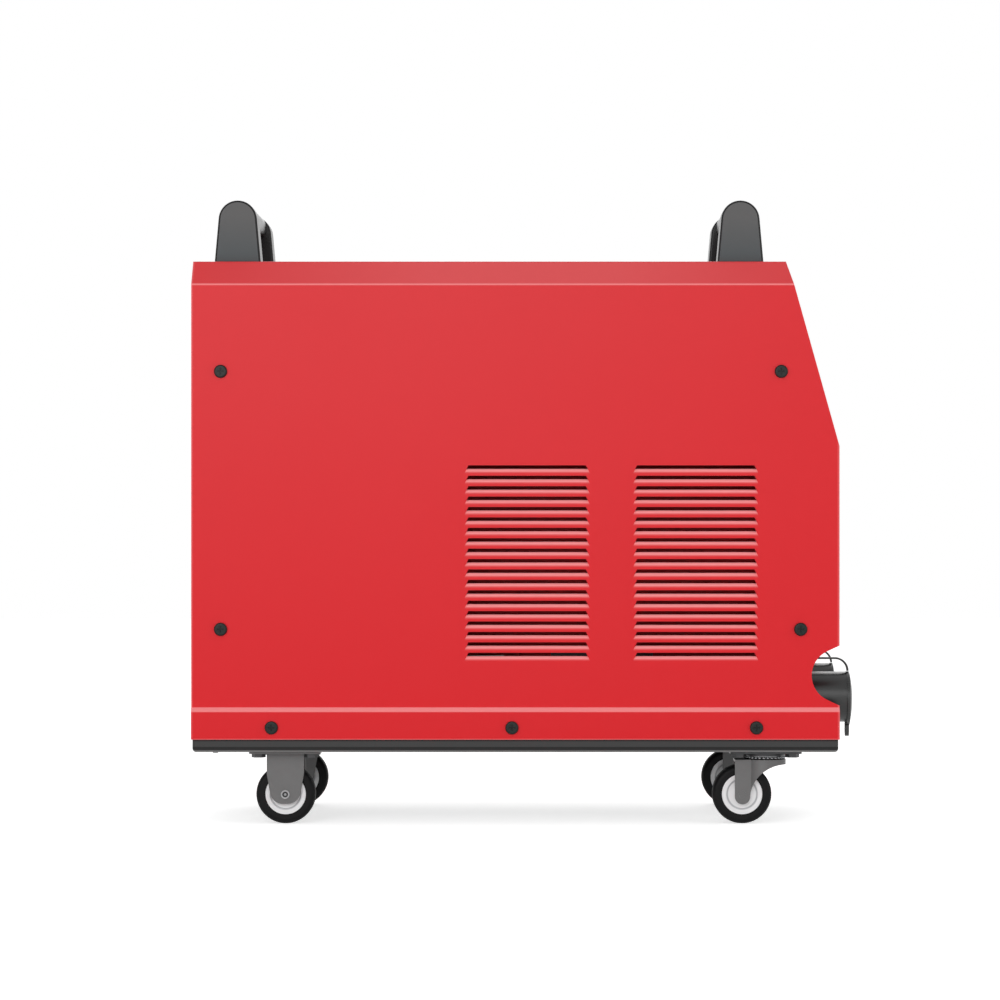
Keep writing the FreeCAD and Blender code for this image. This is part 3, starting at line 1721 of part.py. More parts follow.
def solenoid_valve():
    """Air valve screwed on the inlet: block, coil and outlet tail."""
    y, z = inlet_place
    length, width, height = valve_size
    x = rear_inner
    block = box((x, x + length), (y - width / 2, y + width / 2), (z - height / 2, z + height / 2))
    coil = box(
        (x + 4, x + length - 4),
        (y - width / 2 + 3, y + width / 2 - 3),
        (z + height / 2, z + height / 2 + valve_coil_height),
    )
    tail = rod("x", hose_bore - running_clear, (x + length, y, z), hose_tail)
    seat = rod("x", inlet_thread + running_clear, (x - 1, y, z), 1 + 9.5)
    bore = rod("x", air_passage, (x + 5, y, z), length + hose_tail)
    return block.fuse([coil, tail]).cut([seat, bore]).removeSplitter()


def air_hose():
    """Hose from the valve's tail, down to the tray's floor and up to the torch socket's tail."""
    start = V(rear_inner + valve_size[0] + hose_end_gap, *inlet_place)
    end = V(socket_face - socket_thread_length - hose_end_gap, -socket_spread, socket_z)
    path = route([start, *(V(*point) for point in hose_points), end])
    outer = path.makePipe(Part.Face(Part.Wire(Part.makeCircle(hose_radius, start, V(1, 0, 0)))))
    bore = path.makePipe(Part.Face(Part.Wire(Part.makeCircle(hose_bore, start, V(1, 0, 0)))))
    hose = outer.cut(bore)
    section = math.pi * (hose_radius**2 - hose_bore**2)
    print(f"air hose: {path.Length:.1f} mm long, volume over section by length "
          f"{hose.Volume / (section * path.Length):.5f}")
    return hose


def route(points):
    """A wire of straight runs joined by tangent arcs, each as large as its two runs allow."""
    edges = []
    begin = points[0]
    for before, here, after in zip(points, points[1:], points[2:]):
        back = before - here
        ahead = after - here
        reach = hose_run_share * min(back.Length, ahead.Length)
        half = back.getAngle(ahead) / 2
        radius = reach * math.tan(half)
        start = here + back.normalize() * reach
        end = here + ahead.normalize() * reach
        middle = here + (back + ahead).normalize() * (radius / math.sin(half) - radius)
        edges.append(Part.LineSegment(begin, start).toShape())
        edges.append(Part.Arc(start, middle, end).toShape())
        print(f"hose bend radius {radius:.0f} mm")
        begin = end
    edges.append(Part.LineSegment(begin, points[-1]).toShape())
    return Part.Wire(edges)


def rear_wheel_x():
    """The rear axles, a set distance from the case's rear edge."""
    return rear_x + rear_wheel_place


def front_wheel_x():
    """The front axles with their casters trailing to the rear."""
    return front_x - front_wheel_place


def swivel_x():
    """The front casters' vertical axes, a trail ahead of their wheels."""
    return front_wheel_x() + trail


def caster_bolt_places():
    """All caster bolts: four round each caster's plate."""
    return [
        (cx + sx * plate_bolt_x / 2, sy * caster_y + ty * plate_bolt_y / 2)
        for cx in (rear_wheel_x(), swivel_x())
        for sy in (-1, 1)
        for sx in (-1, 1)
        for ty in (-1, 1)
    ]


def caster_plate(x, y):
    """A caster's top plate under the tray."""
    half_l, half_w = plate_length / 2, plate_width / 2
    plate = prism(
        "xy",
        rounded(
            [
                (x - half_l, y - half_w),
                (x + half_l, y - half_w),
                (x + half_l, y + half_w),
                (x - half_l, y + half_w),
            ],
            plate_corner,
        ),
        plate_bottom,
        tray_bottom,
    )
    holes = [
        rod("z", bolt_radius + screw_clear, (bx, by, plate_bottom - 5), 20)
        for bx, by in caster_bolt_places()
    ]
    return plate.cut(holes)


def rear_fork(side):
    """Fixed caster fork: plate and two tapered legs with rounded feet."""
    x, y = rear_wheel_x(), side * caster_y
    half = rear_fork_width / 2
    shoulder_z = wheel_radius + rear_fork_shoulder
    foot_z = wheel_radius - rear_fork_foot
    leg = prism(
        "xz",
        [
            (x - half, shoulder_z, rear_fork_shoulder_round),
            (x - half, plate_bottom + 0.5),
            (x + half, plate_bottom + 0.5),
            (x + half, shoulder_z, rear_fork_shoulder_round),
            (x + rear_fork_round * 0.94, foot_z, rear_fork_round * 0.9),
            (x - rear_fork_round * 0.94, foot_z, rear_fork_round * 0.9),
        ],
        -fork_sheet,
        0.0,
    )
    inner = fork_inner / 2
    near = leg.copy()
    near.translate(V(0, y - inner, 0))
    far = leg.copy()
    far.translate(V(0, y + inner + fork_sheet, 0))
    web = box(
        (x - half, x + half),
        (y - inner - fork_sheet, y + inner + fork_sheet),
        (plate_bottom - fork_sheet, plate_bottom),
    )
    fork = caster_plate(x, y).fuse([near, far, web])
    axle = rod("y", axle_radius + running_clear, (x, y - 40, wheel_radius), 80)
    return fork.cut(axle).removeSplitter()


def swivel_plates():
    """The front casters' fixed halves: plate, kingpin, and upper race with its ring of balls."""
    solids = []
    for side in (-1, 1):
        x, y = swivel_x(), side * caster_y
        race = rod("z", race_radius, (x, y, plate_bottom), -race_thickness)
        crown_bottom = crown_top - fork_sheet
        head_top = crown_bottom - kingpin_gap
        pin = rod("z", kingpin_radius, (x, y, plate_bottom), head_top - plate_bottom)
        head = rod("z", kingpin_head_radius, (x, y, head_top), -kingpin_head)
        ball_z = crown_top + ball_clear + ball_radius
        balls = []
        for i in range(ball_count):
            angle = 2 * math.pi * i / ball_count
            centre = V(
                x + ball_circle * math.cos(angle), y + ball_circle * math.sin(angle), ball_z
            )
            balls.append(Part.makeSphere(ball_radius, centre))
        solids.append(caster_plate(x, y).fuse([race, pin, head] + balls).removeSplitter())
    return group(solids)


def swivel_fork(side):
    """Swivel fork: a round crown under the race that runs back into two narrow legs."""
    axis_x, y = swivel_x(), side * caster_y
    wheel_x = front_wheel_x()
    outer_half = fork_inner / 2 + fork_sheet
    back_x = wheel_x - leg_back
    leg_foot_z = wheel_radius - leg_foot
    low, high = leg_foot_z - 1, crown_top

    def hull(shrink, bottom, top):
        legs = box((back_x - 5, axis_x - 8), (-outer_half + shrink, outer_half - shrink), (bottom, top))
        crown = rod("z", crown_radius - shrink, (axis_x, 0, bottom), top - bottom)
        return legs.fuse(crown)

    shell = hull(0, low, high).cut(hull(fork_sheet, low - 1, high - fork_sheet))
    crown_skirt_z = crown_top - crown_skirt
    sweep_x = wheel_x + leg_round + 0.2 + leg_sweep
    sweep_z = crown_skirt_z - leg_sweep
    foot_z = leg_foot_z + leg_round
    edge_x = axis_x + crown_radius + 1
    bend = leg_sweep * math.sqrt(0.5)
    corners = [
        V(back_x, -60, high),
        V(back_x, -60, foot_z),
        V(back_x + leg_round, -60, leg_foot_z),
        V(back_x + 2 * leg_round, -60, foot_z),
        V(sweep_x - leg_sweep, -60, sweep_z),
        V(sweep_x - bend, -60, sweep_z + bend),
        V(sweep_x, -60, crown_skirt_z),
        V(edge_x, -60, crown_skirt_z),
        V(edge_x, -60, high),
    ]
    edges = [
        Part.LineSegment(corners[0], corners[1]).toShape(),
        Part.Arc(corners[1], corners[2], corners[3]).toShape(),
        Part.LineSegment(corners[3], corners[4]).toShape(),
        Part.Arc(corners[4], corners[5], corners[6]).toShape(),
        Part.LineSegment(corners[6], corners[7]).toShape(),
        Part.LineSegment(corners[7], corners[8]).toShape(),
        Part.LineSegment(corners[8], corners[0]).toShape(),
    ]
    silhouette = Part.Face(Part.Wire(edges)).extrude(V(0, 120, 0))
    fork = shell.common(silhouette)
    fork.translate(V(0, y, 0))
    axle = rod("y", axle_radius + running_clear, (wheel_x, y - 40, wheel_radius), 80)
    hole = rod("z", kingpin_radius + running_clear, (axis_x, y, crown_top - 10), 20)
    return fork.cut([axle, hole]).removeSplitter()


def wheel_places():
    """Name, centre x and centre y of each wheel."""
    return [
        ("rear_right", rear_wheel_x(), -caster_y),
        ("rear_left", rear_wheel_x(), caster_y),
        ("front_right", front_wheel_x(), -caster_y),
        ("front_left", front_wheel_x(), caster_y),
    ]


def turned(x, y, profile):
    """A solid of revolution about a wheel's axle from (radius, across) points."""
    face = outline("yz", [(across, radius, *r) for radius, across, *r in profile])
    solid = face.revolve(V(0, 0, 0), V(0, 1, 0), 360)
    solid.translate(V(x, y, wheel_radius))
    return solid


def tyre(x, y):
    """Solid tyre with rounded shoulders."""
    half = wheel_width / 2
    inner = hub_radius + running_clear
    return turned(
        x,
        y,
        [
            (inner, -half, 0.8),
            (wheel_radius, -half, tyre_shoulder),
            (wheel_radius, half, tyre_shoulder),
            (inner, half, 0.8),
        ],
    )


def hub(x, y):
    """Wheel centre: rim, a shallow groove, a web and a boss that runs on the axle."""
    half = wheel_width / 2
    boss = fork_inner / 2 - hub_side_gap
    web = half - 1.6
    groove = web - 1.4
    half_profile = [
        (axle_radius + running_clear, boss),
        (hub_boss, boss),
        (hub_boss, web),
        (hub_web_radius, web),
        (hub_web_radius, groove),
        (hub_web_radius + hub_groove, groove),
        (hub_web_radius + hub_groove, half - 0.8),
        (hub_radius, half - 0.8),
    ]
    return turned(x, y, half_profile + [(r, -a) for r, a in half_profile[::-1]])


def axle(x, y, proud):
    """Riveted wheel axle through the fork's legs; a proud end has a low round head."""
    half = fork_inner / 2 + fork_sheet
    bar = rod("y", axle_radius, (x, y - half, wheel_radius), 2 * half)
    if not proud:
        return bar
    heads = []
    for sign in (-1, 1):
        end_y = y + sign * half
        disc = rod("y", axle_radius + rivet_lip, (x, end_y, wheel_radius), sign * rivet_height)
        dent = rod("y", rivet_dent, (x, end_y + sign * rivet_height / 2, wheel_radius), sign * 3.0)
        heads.append(disc.cut(dent))
    return bar.fuse(heads).removeSplitter()


def nodes():
    """Every node of the unit by name."""
    made = {
        "base_tray": base_tray(),
        "hood_cover": hood_cover(),
        "case_screws": case_screws(),
        "control_panel": control_panel(),
        "socket_panel": socket_panel(),
        "rear_panel": rear_panel(),
        "frame_bolts": frame_bolts(),
        "display_window": display_window(),
        "control_board": control_board(),
        "current_knob": knob(current_knob_place, current_knob_radius, current_knob_height),
        "flow_knob": knob(flow_knob_place, flow_knob_radius, flow_knob_height),
        "rocker_housings": rocker_housings(),
        "mode_rocker": rocker(rocker_places[0]),
        "gas_rocker": rocker(rocker_places[1]),
        "indicator_lamps": indicator_lamps(),
        "gauge_case": gauge_case(),
        "gauge_needle": gauge_needle(),
        "gauge_lens": gauge_lens(),
        "torch_socket": torch_socket(),
        "earth_socket": earth_socket(),
        "torch_cap": dust_cap(-1),
        "earth_cap": dust_cap(1),
        "torch_cap_strap": cap_strap(-1),
        "earth_cap_strap": cap_strap(1),
        "control_socket": control_socket(),
        "breaker_body": breaker_body(),
        "breaker_lever": breaker_lever(),
        "cable_gland": cable_gland(),
        "air_inlet": air_inlet(),
        "earth_stud": earth_stud(),
        "fan_guard": fan_guard(),
        "fan_frame": fan_frame(),
        "fan_rotor": fan_rotor(),
        "divider_plate": divider_plate(),
        "heat_sink": heat_sink(),
        "inverter_board": inverter_board(),
        "transformer_core": transformer_core(),
        "transformer_winding": transformer_winding(),
        "output_choke": output_choke(),
        "solenoid_valve": solenoid_valve(),
        "air_hose": air_hose(),
        "rear_right_fork": rear_fork(-1),
        "rear_left_fork": rear_fork(1),
        "swivel_plates": swivel_plates(),
        "front_right_fork": swivel_fork(-1),
        "front_left_fork": swivel_fork(1),
    }
    centres = handle_centres()
    made["handle_ends"] = group([handle_end(c, side) for c in centres for side in (-1, 1)])
    for name, centre in zip(("rear", "front"), centres):
        made[f"{name}_grip"] = grip_shape(centre, 0.0)
    for name, x, y in wheel_places():
        made[f"{name}_tyre"] = tyre(x, y)
        made[f"{name}_hub"] = hub(x, y)
        if name.startswith("front"):
            made[f"{name}_axle"] = axle(x, y, False)
    made["rear_axles"] = group(
        [axle(x, y, True) for name, x, y in wheel_places() if name.startswith("rear")]
    )
    return made


os.makedirs("parts", exist_ok=True)
for node, shape in nodes().items():
    shape.exportStep(f"parts/{node}.step")
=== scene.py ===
import json
import math

import bmesh
import bpy
from mathutils import Matrix, Vector


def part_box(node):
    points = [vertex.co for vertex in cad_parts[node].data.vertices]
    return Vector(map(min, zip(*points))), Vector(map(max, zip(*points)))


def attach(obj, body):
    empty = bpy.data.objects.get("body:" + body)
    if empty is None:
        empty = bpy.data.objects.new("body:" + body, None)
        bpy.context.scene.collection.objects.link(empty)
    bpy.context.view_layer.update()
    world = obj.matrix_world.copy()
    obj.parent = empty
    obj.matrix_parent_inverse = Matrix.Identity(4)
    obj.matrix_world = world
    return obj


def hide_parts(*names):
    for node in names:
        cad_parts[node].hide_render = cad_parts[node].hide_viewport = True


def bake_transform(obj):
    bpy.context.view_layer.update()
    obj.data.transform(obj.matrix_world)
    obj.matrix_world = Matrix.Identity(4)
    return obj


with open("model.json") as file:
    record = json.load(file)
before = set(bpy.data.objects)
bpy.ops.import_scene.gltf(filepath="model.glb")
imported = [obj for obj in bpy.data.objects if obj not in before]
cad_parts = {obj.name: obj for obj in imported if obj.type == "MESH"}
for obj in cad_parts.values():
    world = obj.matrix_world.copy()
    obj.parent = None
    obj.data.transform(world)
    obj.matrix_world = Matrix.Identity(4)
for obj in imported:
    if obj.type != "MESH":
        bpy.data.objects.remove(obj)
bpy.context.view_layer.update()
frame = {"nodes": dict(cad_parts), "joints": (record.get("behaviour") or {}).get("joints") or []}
joints = {joint["name"]: joint for joint in frame["joints"]}


# Base tray: a pan folded from 2 mm sheet steel that everything else stands on.
# It is powder coated near black, with the fine orange peel of baked powder.

class Signal:
    """A socket in a material's nodes; arithmetic on it adds Math nodes to that material."""

    def __init__(self, tree, socket=None):
        self.tree = tree
        self.socket = socket

    def node(self, kind, inputs=None, output=0, **settings):
        """Any shader node, from its type, the values or links of its sockets, and its settings."""
        made = self.tree.nodes.new("ShaderNode" + kind)
        for name, value in settings.items():
            setattr(made, name, value)
        for name, value in (inputs or {}).items():
            if isinstance(value, Signal):
                self.tree.links.new(value.socket, made.inputs[name])
            else:
                made.inputs[name].default_value = value
        return Signal(self.tree, made.outputs[output] if made.outputs else None)

    def maths(self, operation, *values):
        return self.node("Math", dict(enumerate(values)), operation=operation)

    def __add__(self, other):
        return self.maths("ADD", self, other)

    def __sub__(self, other):
        return self.maths("SUBTRACT", self, other)

    def __rsub__(self, other):
        return self.maths("SUBTRACT", other, self)

    def __mul__(self, other):
        return self.maths("MULTIPLY", self, other)

    def __or__(self, other):
        return self.maths("MAXIMUM", self, other)

    def __pow__(self, power):
        return self.maths("POWER", self, power)

    def __abs__(self):
        return self.maths("ABSOLUTE", self)

    __radd__ = __add__
    __rmul__ = __mul__


def srgb(red, green, blue):
    """A colour as it looks on a screen, 0 to 255, as the shader's linear one."""
    shares = [c / 255 for c in (red, green, blue)]
    return [c / 12.92 if c <= 0.04045 else ((c + 0.055) / 1.055) ** 2.4 for c in shares] + [1.0]


def shaded(colour, share):
    """A colour made darker or lighter by a share."""
    return [min(c * share, 1.0) for c in colour[:3]] + [1.0]


def as_finish(paint):
    """Turns a function that paints by the place on a piece into one that makes a named material."""
    def made(name, *sizes, **plain):
        finish = bpy.data.materials.new(name)
        finish.use_nodes = True
        finish.node_tree.nodes.clear()
        place = Signal(finish.node_tree).node("TexCoord", output="Object")
        place.node("OutputMaterial", {"Surface": paint(place, *sizes, **plain)})
        return finish
    return made


def along(place, axis):
    """How far a place lies along one axis, in metres."""
    return place.node("SeparateXYZ", {"Vector": place}, axis)


def noise(place, size, detail=2.0):
    """Soft noise from 0 to 1 with grains of a size in metres."""
    return place.node("TexNoise", {"Vector": place, "Scale": 1 / size, "Detail": detail}, "Fac")


def mixed(share, low, high):
    """A colour between two, by a share."""
    return share.node("Mix", {0: share, 6: low, 7: high}, 2, data_type="RGBA")


def rise(value, low, high):
    """0 below a low value, 1 above a high one."""
    return value.node("MapRange", {"Value": value, "From Min": low, "From Max": high}, "Result")


def band(value, low, high, soft):
    """1 between two values, falling to 0 over a soft edge on each side."""
    return rise(value, low - soft, low + soft) * (1 - rise(value, high - soft, high + soft))


def surface(colour, roughness, metallic=0.0, height=None, **plain):
    """The Principled shader; height is its relief in metres."""
    inputs = {"Base Color": colour, "Roughness": roughness, "Metallic": metallic}
    inputs.update({name.replace("_", " "): value for name, value in plain.items()})
    if height is not None:
        relief = {"Height": height, "Distance": 1.0, "Strength": 1.0}
        inputs["Normal"] = height.node("Bump", relief, "Normal")
    return colour.node("BsdfPrincipled", inputs, "BSDF")


def powder_layers(place, roughness):
    """The grain, clouds, roughness and relief of baked powder: orange peel under a fine satin grain."""
    peel = noise(place, 0.0024, 1.0)
    grain = noise(place, 0.0005)
    cloud = noise(place, 0.11, 3.0)
    roughness = roughness + (grain - 0.5) * 0.16 + (cloud - 0.5) * 0.06
    return grain, cloud, roughness, peel * 0.00004 + grain * 0.000008


@as_finish
def tray_coat(place, colour, highlight_colour, low, high):
    """Powder coat with a painted highlight along the tray's bottom fold, painted shade in the fold above
    it, and a painted shadow under the hood.
    """
    grain, cloud, roughness, height = powder_layers(place, 0.42)
    up = along(place, "Z")
    # Painted highlight on the rounded bottom fold, where the floor's light would catch it.
    bottom_edge_highlight = 1 - rise(up, low + 0.0012, low + 0.0026)
    # Painted shade in the fold above the bottom edge.
    fold_shade = band(up, low + 0.0026, low + 0.0058, 0.0004)
    # Painted shadow under the hood's skirt.
    hood_skirt_shadow = rise(up, high - 0.0022, high - 0.0012)
    colours = mixed(cloud, shaded(colour, 0.94), shaded(colour, 1.06))
    colours = mixed(fold_shade | hood_skirt_shadow, colours, shaded(colour, 0.28))
    colours = mixed(bottom_edge_highlight * (0.7 + (grain - 0.5) * 0.4), colours, highlight_colour)
    return surface(colours, roughness, 0.0, height, Specular_IOR_Level=0.18)


def give(finish, *nodes):
    """One finish all over each CAD node."""
    for name in nodes:
        for slot in frame["nodes"][name].material_slots:
            slot.material = finish


tray_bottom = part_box("base_tray")[0].z
hood_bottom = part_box("hood_cover")[0].z
# The second colour is the painted highlight along the tray's bottom fold.
tray_finish = tray_coat("tray powder coat", srgb(60, 61, 61), srgb(150, 152, 151), tray_bottom, hood_bottom)
give(tray_finish, "base_tray")


# Casters: pressed forks and plates in satin grey zinc, riveted to the tray with four bolts each.
# The front ones swivel on a ring of polished balls held between the plate and the fork's crown.

def stretched(place, x, y, z):
    """The place with its axes scaled, for grain that runs one way."""
    return place.node("Mapping", {"Vector": place, "Scale": (x, y, z)})


def line_distance(place, centre, across):
    """Distance from a line through a centre; across keeps the directions square to the line."""
    moved = place.node("VectorMath", {0: place, 1: centre}, operation="SUBTRACT")
    flat = place.node("VectorMath", {0: moved, 1: across}, operation="MULTIPLY")
    return place.node("VectorMath", {0: flat}, "Value", operation="LENGTH")


@as_finish
def pressed_steel(place, colour, gloss, metallic):
    """Sheet steel with a thin satin coat: faint rolling lines and a cloudy zinc bloom."""
    bloom = noise(place, 0.009, 4.0)
    lines = noise(stretched(place, 1.0, 1.0, 14.0), 0.006, 3.0)
    grain = noise(place, 0.0004)
    colours = mixed(bloom, shaded(colour, 0.86), shaded(colour, 1.12))
    roughness = (1.0 - gloss) + (bloom - 0.5) * 0.22 + (lines - 0.5) * 0.12
    return surface(colours, roughness, metallic, lines * 0.000006 + grain * 0.000006)


@as_finish
def plates_with_balls(place, colour, ball_low, ball_high):
    """The swivel plates' zinc, with the height of the ball race polished bright."""
    race = band(along(place, "Z"), ball_low + 0.0001, ball_high + 0.0001, 0.0001)
    bloom = noise(place, 0.008, 4.0)
    steel = mixed(bloom, shaded(colour, 0.85), shaded(colour, 1.12))
    colours = mixed(race, steel, srgb(128, 129, 131))
    roughness = (0.42 + (bloom - 0.5) * 0.2) * (1 - race) + race * 0.16
    return surface(colours, roughness, 0.8 + race * 0.2, noise(place, 0.0005) * 0.000006)


@as_finish
def axle_head(place, axle):
    """A riveted axle's head: bright where it was struck, with painted shade in the ring round that."""
    # Painted shade in the groove ring round the axle's middle.
    ring = band(line_distance(place, axle, (1.0, 0.0, 1.0)), 0.0015, 0.0031, 0.0002)
    struck = noise(place, 0.0009, 3.0)
    colours = mixed(struck, srgb(112, 113, 114), srgb(176, 177, 179))
    colours = mixed(ring, colours, srgb(34, 34, 35))
    return surface(colours, 0.4 + (struck - 0.5) * 0.3, 0.6, struck * 0.00003 - ring * 0.0001)


crown_top = 0.0684
ball_ring_top = 0.0722
fork_finish = pressed_steel("fork satin zinc", srgb(98, 98, 98), 0.55, 0.5)
bolt_finish = pressed_steel("bright zinc bolts", srgb(168, 171, 176), 0.66, 0.95)
give(fork_finish, "rear_right_fork", "rear_left_fork", "front_right_fork", "front_left_fork")
give(fork_finish, "front_right_axle", "front_left_axle")
give(plates_with_balls("swivel plates", srgb(66, 67, 68), crown_top, ball_ring_top), "swivel_plates")
give(axle_head("axle heads", joints["rear_right_wheel_spin"]["pos_m"]), "rear_axles")
give(pressed_steel("dull zinc bolts", srgb(62, 63, 64), 0.6, 0.6), "frame_bolts")


# Wheels: a white polypropylene centre with a grey groove, under a solid black tread.
# The tread is moulded on, so its sides are smooth and only the running face is scuffed.

@as_finish
def tread_rubber(place, axle, tread_radius):
    """Black polyurethane, smooth on its sides and dulled where it runs."""
    out = line_distance(place, axle, (1.0, 0.0, 1.0))
    running = rise(out, tread_radius - 0.0012, tread_radius - 0.0003)
    scuff = noise(stretched(place, 1.0, 3.0, 1.0), 0.0035, 4.0)
    grain = noise(place, 0.0006)
    black = mixed(scuff, srgb(10, 10, 11), srgb(19, 19, 20))
    colours = mixed(running * rise(scuff, 0.5, 0.7), black, srgb(50, 49, 48))
    roughness = 0.46 + running * 0.22 + (grain - 0.5) * 0.12
    height = grain * 0.00001 + running * scuff * 0.00004
    return surface(colours, roughness, 0.0, height, Specular_IOR_Level=0.12)


@as_finish
def hub_plastic(place, axle, groove_radius):
    """White moulded plastic, greyer in its groove."""
    out = line_distance(place, axle, (1.0, 0.0, 1.0))
    groove = band(out, groove_radius - 0.0002, groove_radius + 0.0016, 0.0004)
    cloud = noise(place, 0.012, 3.0)
    white = mixed(cloud, srgb(238, 238, 239), srgb(248, 248, 249))
    colours = mixed(groove * 0.6, white, srgb(168, 170, 174))
    return surface(colours, 0.4 + (cloud - 0.5) * 0.15, 0.0, noise(place, 0.0007) * 0.000008)


wheel_radius = joints["rear_right_wheel_spin"]["pos_m"][2]
hub_groove_radius = 0.0152
for corner in ("rear_right", "rear_left", "front_right", "front_left"):
    axle = joints[f"{corner}_wheel_spin"]["pos_m"]
    give(tread_rubber(f"{corner} tread", axle, wheel_radius), f"{corner}_tyre")
    give(hub_plastic(f"{corner} wheel centre", axle, hub_groove_radius), f"{corner}_hub")


# Heat sink and divider: an extruded aluminium block that stands in the fan's air,
# and a zinc sheet in dull red primer, which stands along the middle and splits the inside in two.

@as_finish
def even_finish(place, low, high, roughness, cloud, grain, metallic=0.0, **plain):
    """A finish alike all over, of two colours. grain is a noise's size, its detail, its swing in
    roughness, its relief and, if it runs one way, its stretch. cloud, which spreads the colours, is a
    size, a detail and a swing; where there is none, the grain spreads them."""
    size, detail, swing, relief, *stretch = grain
    fine = noise(stretched(place, *stretch) if stretch else place, size, detail)
    spread = fine
    roughness = roughness + (fine - 0.5) * swing
    if cloud:
        size, detail, swing = cloud
        spread = noise(place, size, detail)
        roughness = roughness + (spread - 0.5) * swing
    height = fine * relief if relief else None
    return surface(mixed(spread, low, high), roughness, metallic, height, **plain)


@as_finish
def primed_zinc(place, colour):
    """Primed zinc sheet whose spangle shows through: crystals a few millimetres across."""
    crystals = place.node("TexVoronoi", {"Vector": place, "Scale": 1 / 0.006}, "Color")
    spangle = place.node("SeparateColor", {"Color": crystals}, "Red")
    grain = noise(place, 0.0005)
    colours = mixed(spangle, shaded(colour, 0.86), shaded(colour, 1.1))
    roughness = 0.38 + (spangle - 0.5) * 0.16 + (grain - 0.5) * 0.08
    return surface(colours, roughness, 0.0, grain * 0.000005, Specular_IOR_Level=0.1)


die_lines = (0.0009, 3.0, 0.14, 0.000012, 0.04, 1.0, 1.0)
give(even_finish("extruded aluminium", srgb(178, 180, 183), srgb(205, 207, 210), 0.34,
                 (0.02, 4.0, 0.2), die_lines, 1.0), "heat_sink")
give(primed_zinc("primed zinc sheet", srgb(158, 26, 29)), "divider_plate")


# Inverter board: a green board soldered over four black power modules,
# with three pairs of sleeved bus capacitors and two yellow film blocks on top.

@as_finish
def board_parts(place, board_low, board_high, top, block_edge):
    """Green board by its height, black modules below it, and capacitors and blocks above."""
    up = along(place, "Z")
    above = rise(up, board_high + 0.00005, board_high + 0.0002)
    below = 1 - rise(up, board_low - 0.0002, board_low - 0.00005)
    cap_ends = rise(up, top - 0.0006, top - 0.0003)
    middle = 1 - rise(abs(along(place, "Y")), block_edge, block_edge + 0.001)
    lanes = place.node("TexBrick", {
        "Vector": place, "Scale": 60.0, "Mortar Size": 0.03, "Brick Width": 0.9, "Row Height": 0.22,
        "Color1": srgb(24, 92, 52), "Color2": srgb(20, 78, 44), "Mortar": srgb(52, 128, 78),
    }, "Color")
    mottled = noise(place, 0.004, 3.0)
    sleeve = mixed(mottled, srgb(26, 32, 54), srgb(34, 40, 66))
    sleeve = mixed(middle, sleeve, srgb(196, 158, 44))
    sleeve = mixed(cap_ends, sleeve, srgb(186, 188, 190))
    colours = mixed(below, mixed(above, lanes, sleeve), srgb(30, 30, 31))
    return surface(colours, 0.42 + (mottled - 0.5) * 0.2, 0.0, noise(place, 0.0009) * 0.00001)


module_height = 0.017
board_thickness = 0.0016
film_blocks_edge = 0.026
inverter_low, inverter_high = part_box("inverter_board")
inverter_underside = inverter_low.z + module_height
give(board_parts("inverter board", inverter_underside, inverter_underside + board_thickness,
                 inverter_high.z, film_blocks_edge), "inverter_board")


# Transformer, choke and valve: a ferrite frame with its copper winding stack, a ring choke wound
# in enamelled wire, and a brass air valve with a black coil, all fixed to the tray or the inlet.

@as_finish
def wound_copper(place, pitch):
    """Enamelled wire side by side: a band for each turn, with painted shade between the turns and a
    varnished sheen.
    """
    bands_in_a_metre = 3.183
    turns = {"Vector": place, "Scale": 1 / pitch / bands_in_a_metre, "Distortion": 0.4}
    bands = place.node("TexWave", turns, "Fac", wave_type="BANDS", bands_direction="Z", wave_profile="SIN")
    drift = noise(place, 0.014, 3.0)
    # Painted shade between the turns and painted light on their crests, following the relief's bands.
    colours = mixed(bands, srgb(92, 44, 20), srgb(182, 98, 48))
    colours = mixed(drift * 0.4, colours, srgb(120, 60, 28))
    return surface(colours, 0.3 + (drift - 0.5) * 0.16, 0.55, bands * 0.0003)


@as_finish
def valve_brass(place, block_top):
    """Turned brass below, the coil's black moulding above."""
    coil = rise(along(place, "Z"), block_top, block_top + 0.0003)
    tarnish = noise(place, 0.007, 4.0)
    brass = mixed(tarnish, srgb(168, 136, 74), srgb(206, 174, 104))
    colours = mixed(coil, brass, srgb(28, 28, 30))
    roughness = 0.3 + (tarnish - 0.5) * 0.2 + coil * 0.22
    return surface(colours, roughness, 1 - coil, noise(place, 0.0007) * 0.000008)


coil_height = 0.034
sintered_pits = (0.0011, 3.0, 0.14, 0.00003)
ferrite = even_finish("ferrite", srgb(52, 53, 56), srgb(72, 73, 76), 0.72, None, sintered_pits, 0.1)
give(ferrite, "transformer_core")
give(wound_copper("winding copper", 0.0022), "transformer_winding")
give(wound_copper("choke copper", 0.0026), "output_choke")
give(valve_brass("valve brass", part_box("solenoid_valve")[1].z - coil_height), "solenoid_valve")


# Air hose: blue polyurethane, 8 mm outside, pushed over the valve's outlet and the torch socket's tail.
# It comes off the valve level, sinks to the tray floor, lies along it and climbs to the socket.

def linked(name, data):
    """A new object of its data, in the scene."""
    thing = bpy.data.objects.new(name, data)
    bpy.context.scene.collection.objects.link(thing)
    return thing


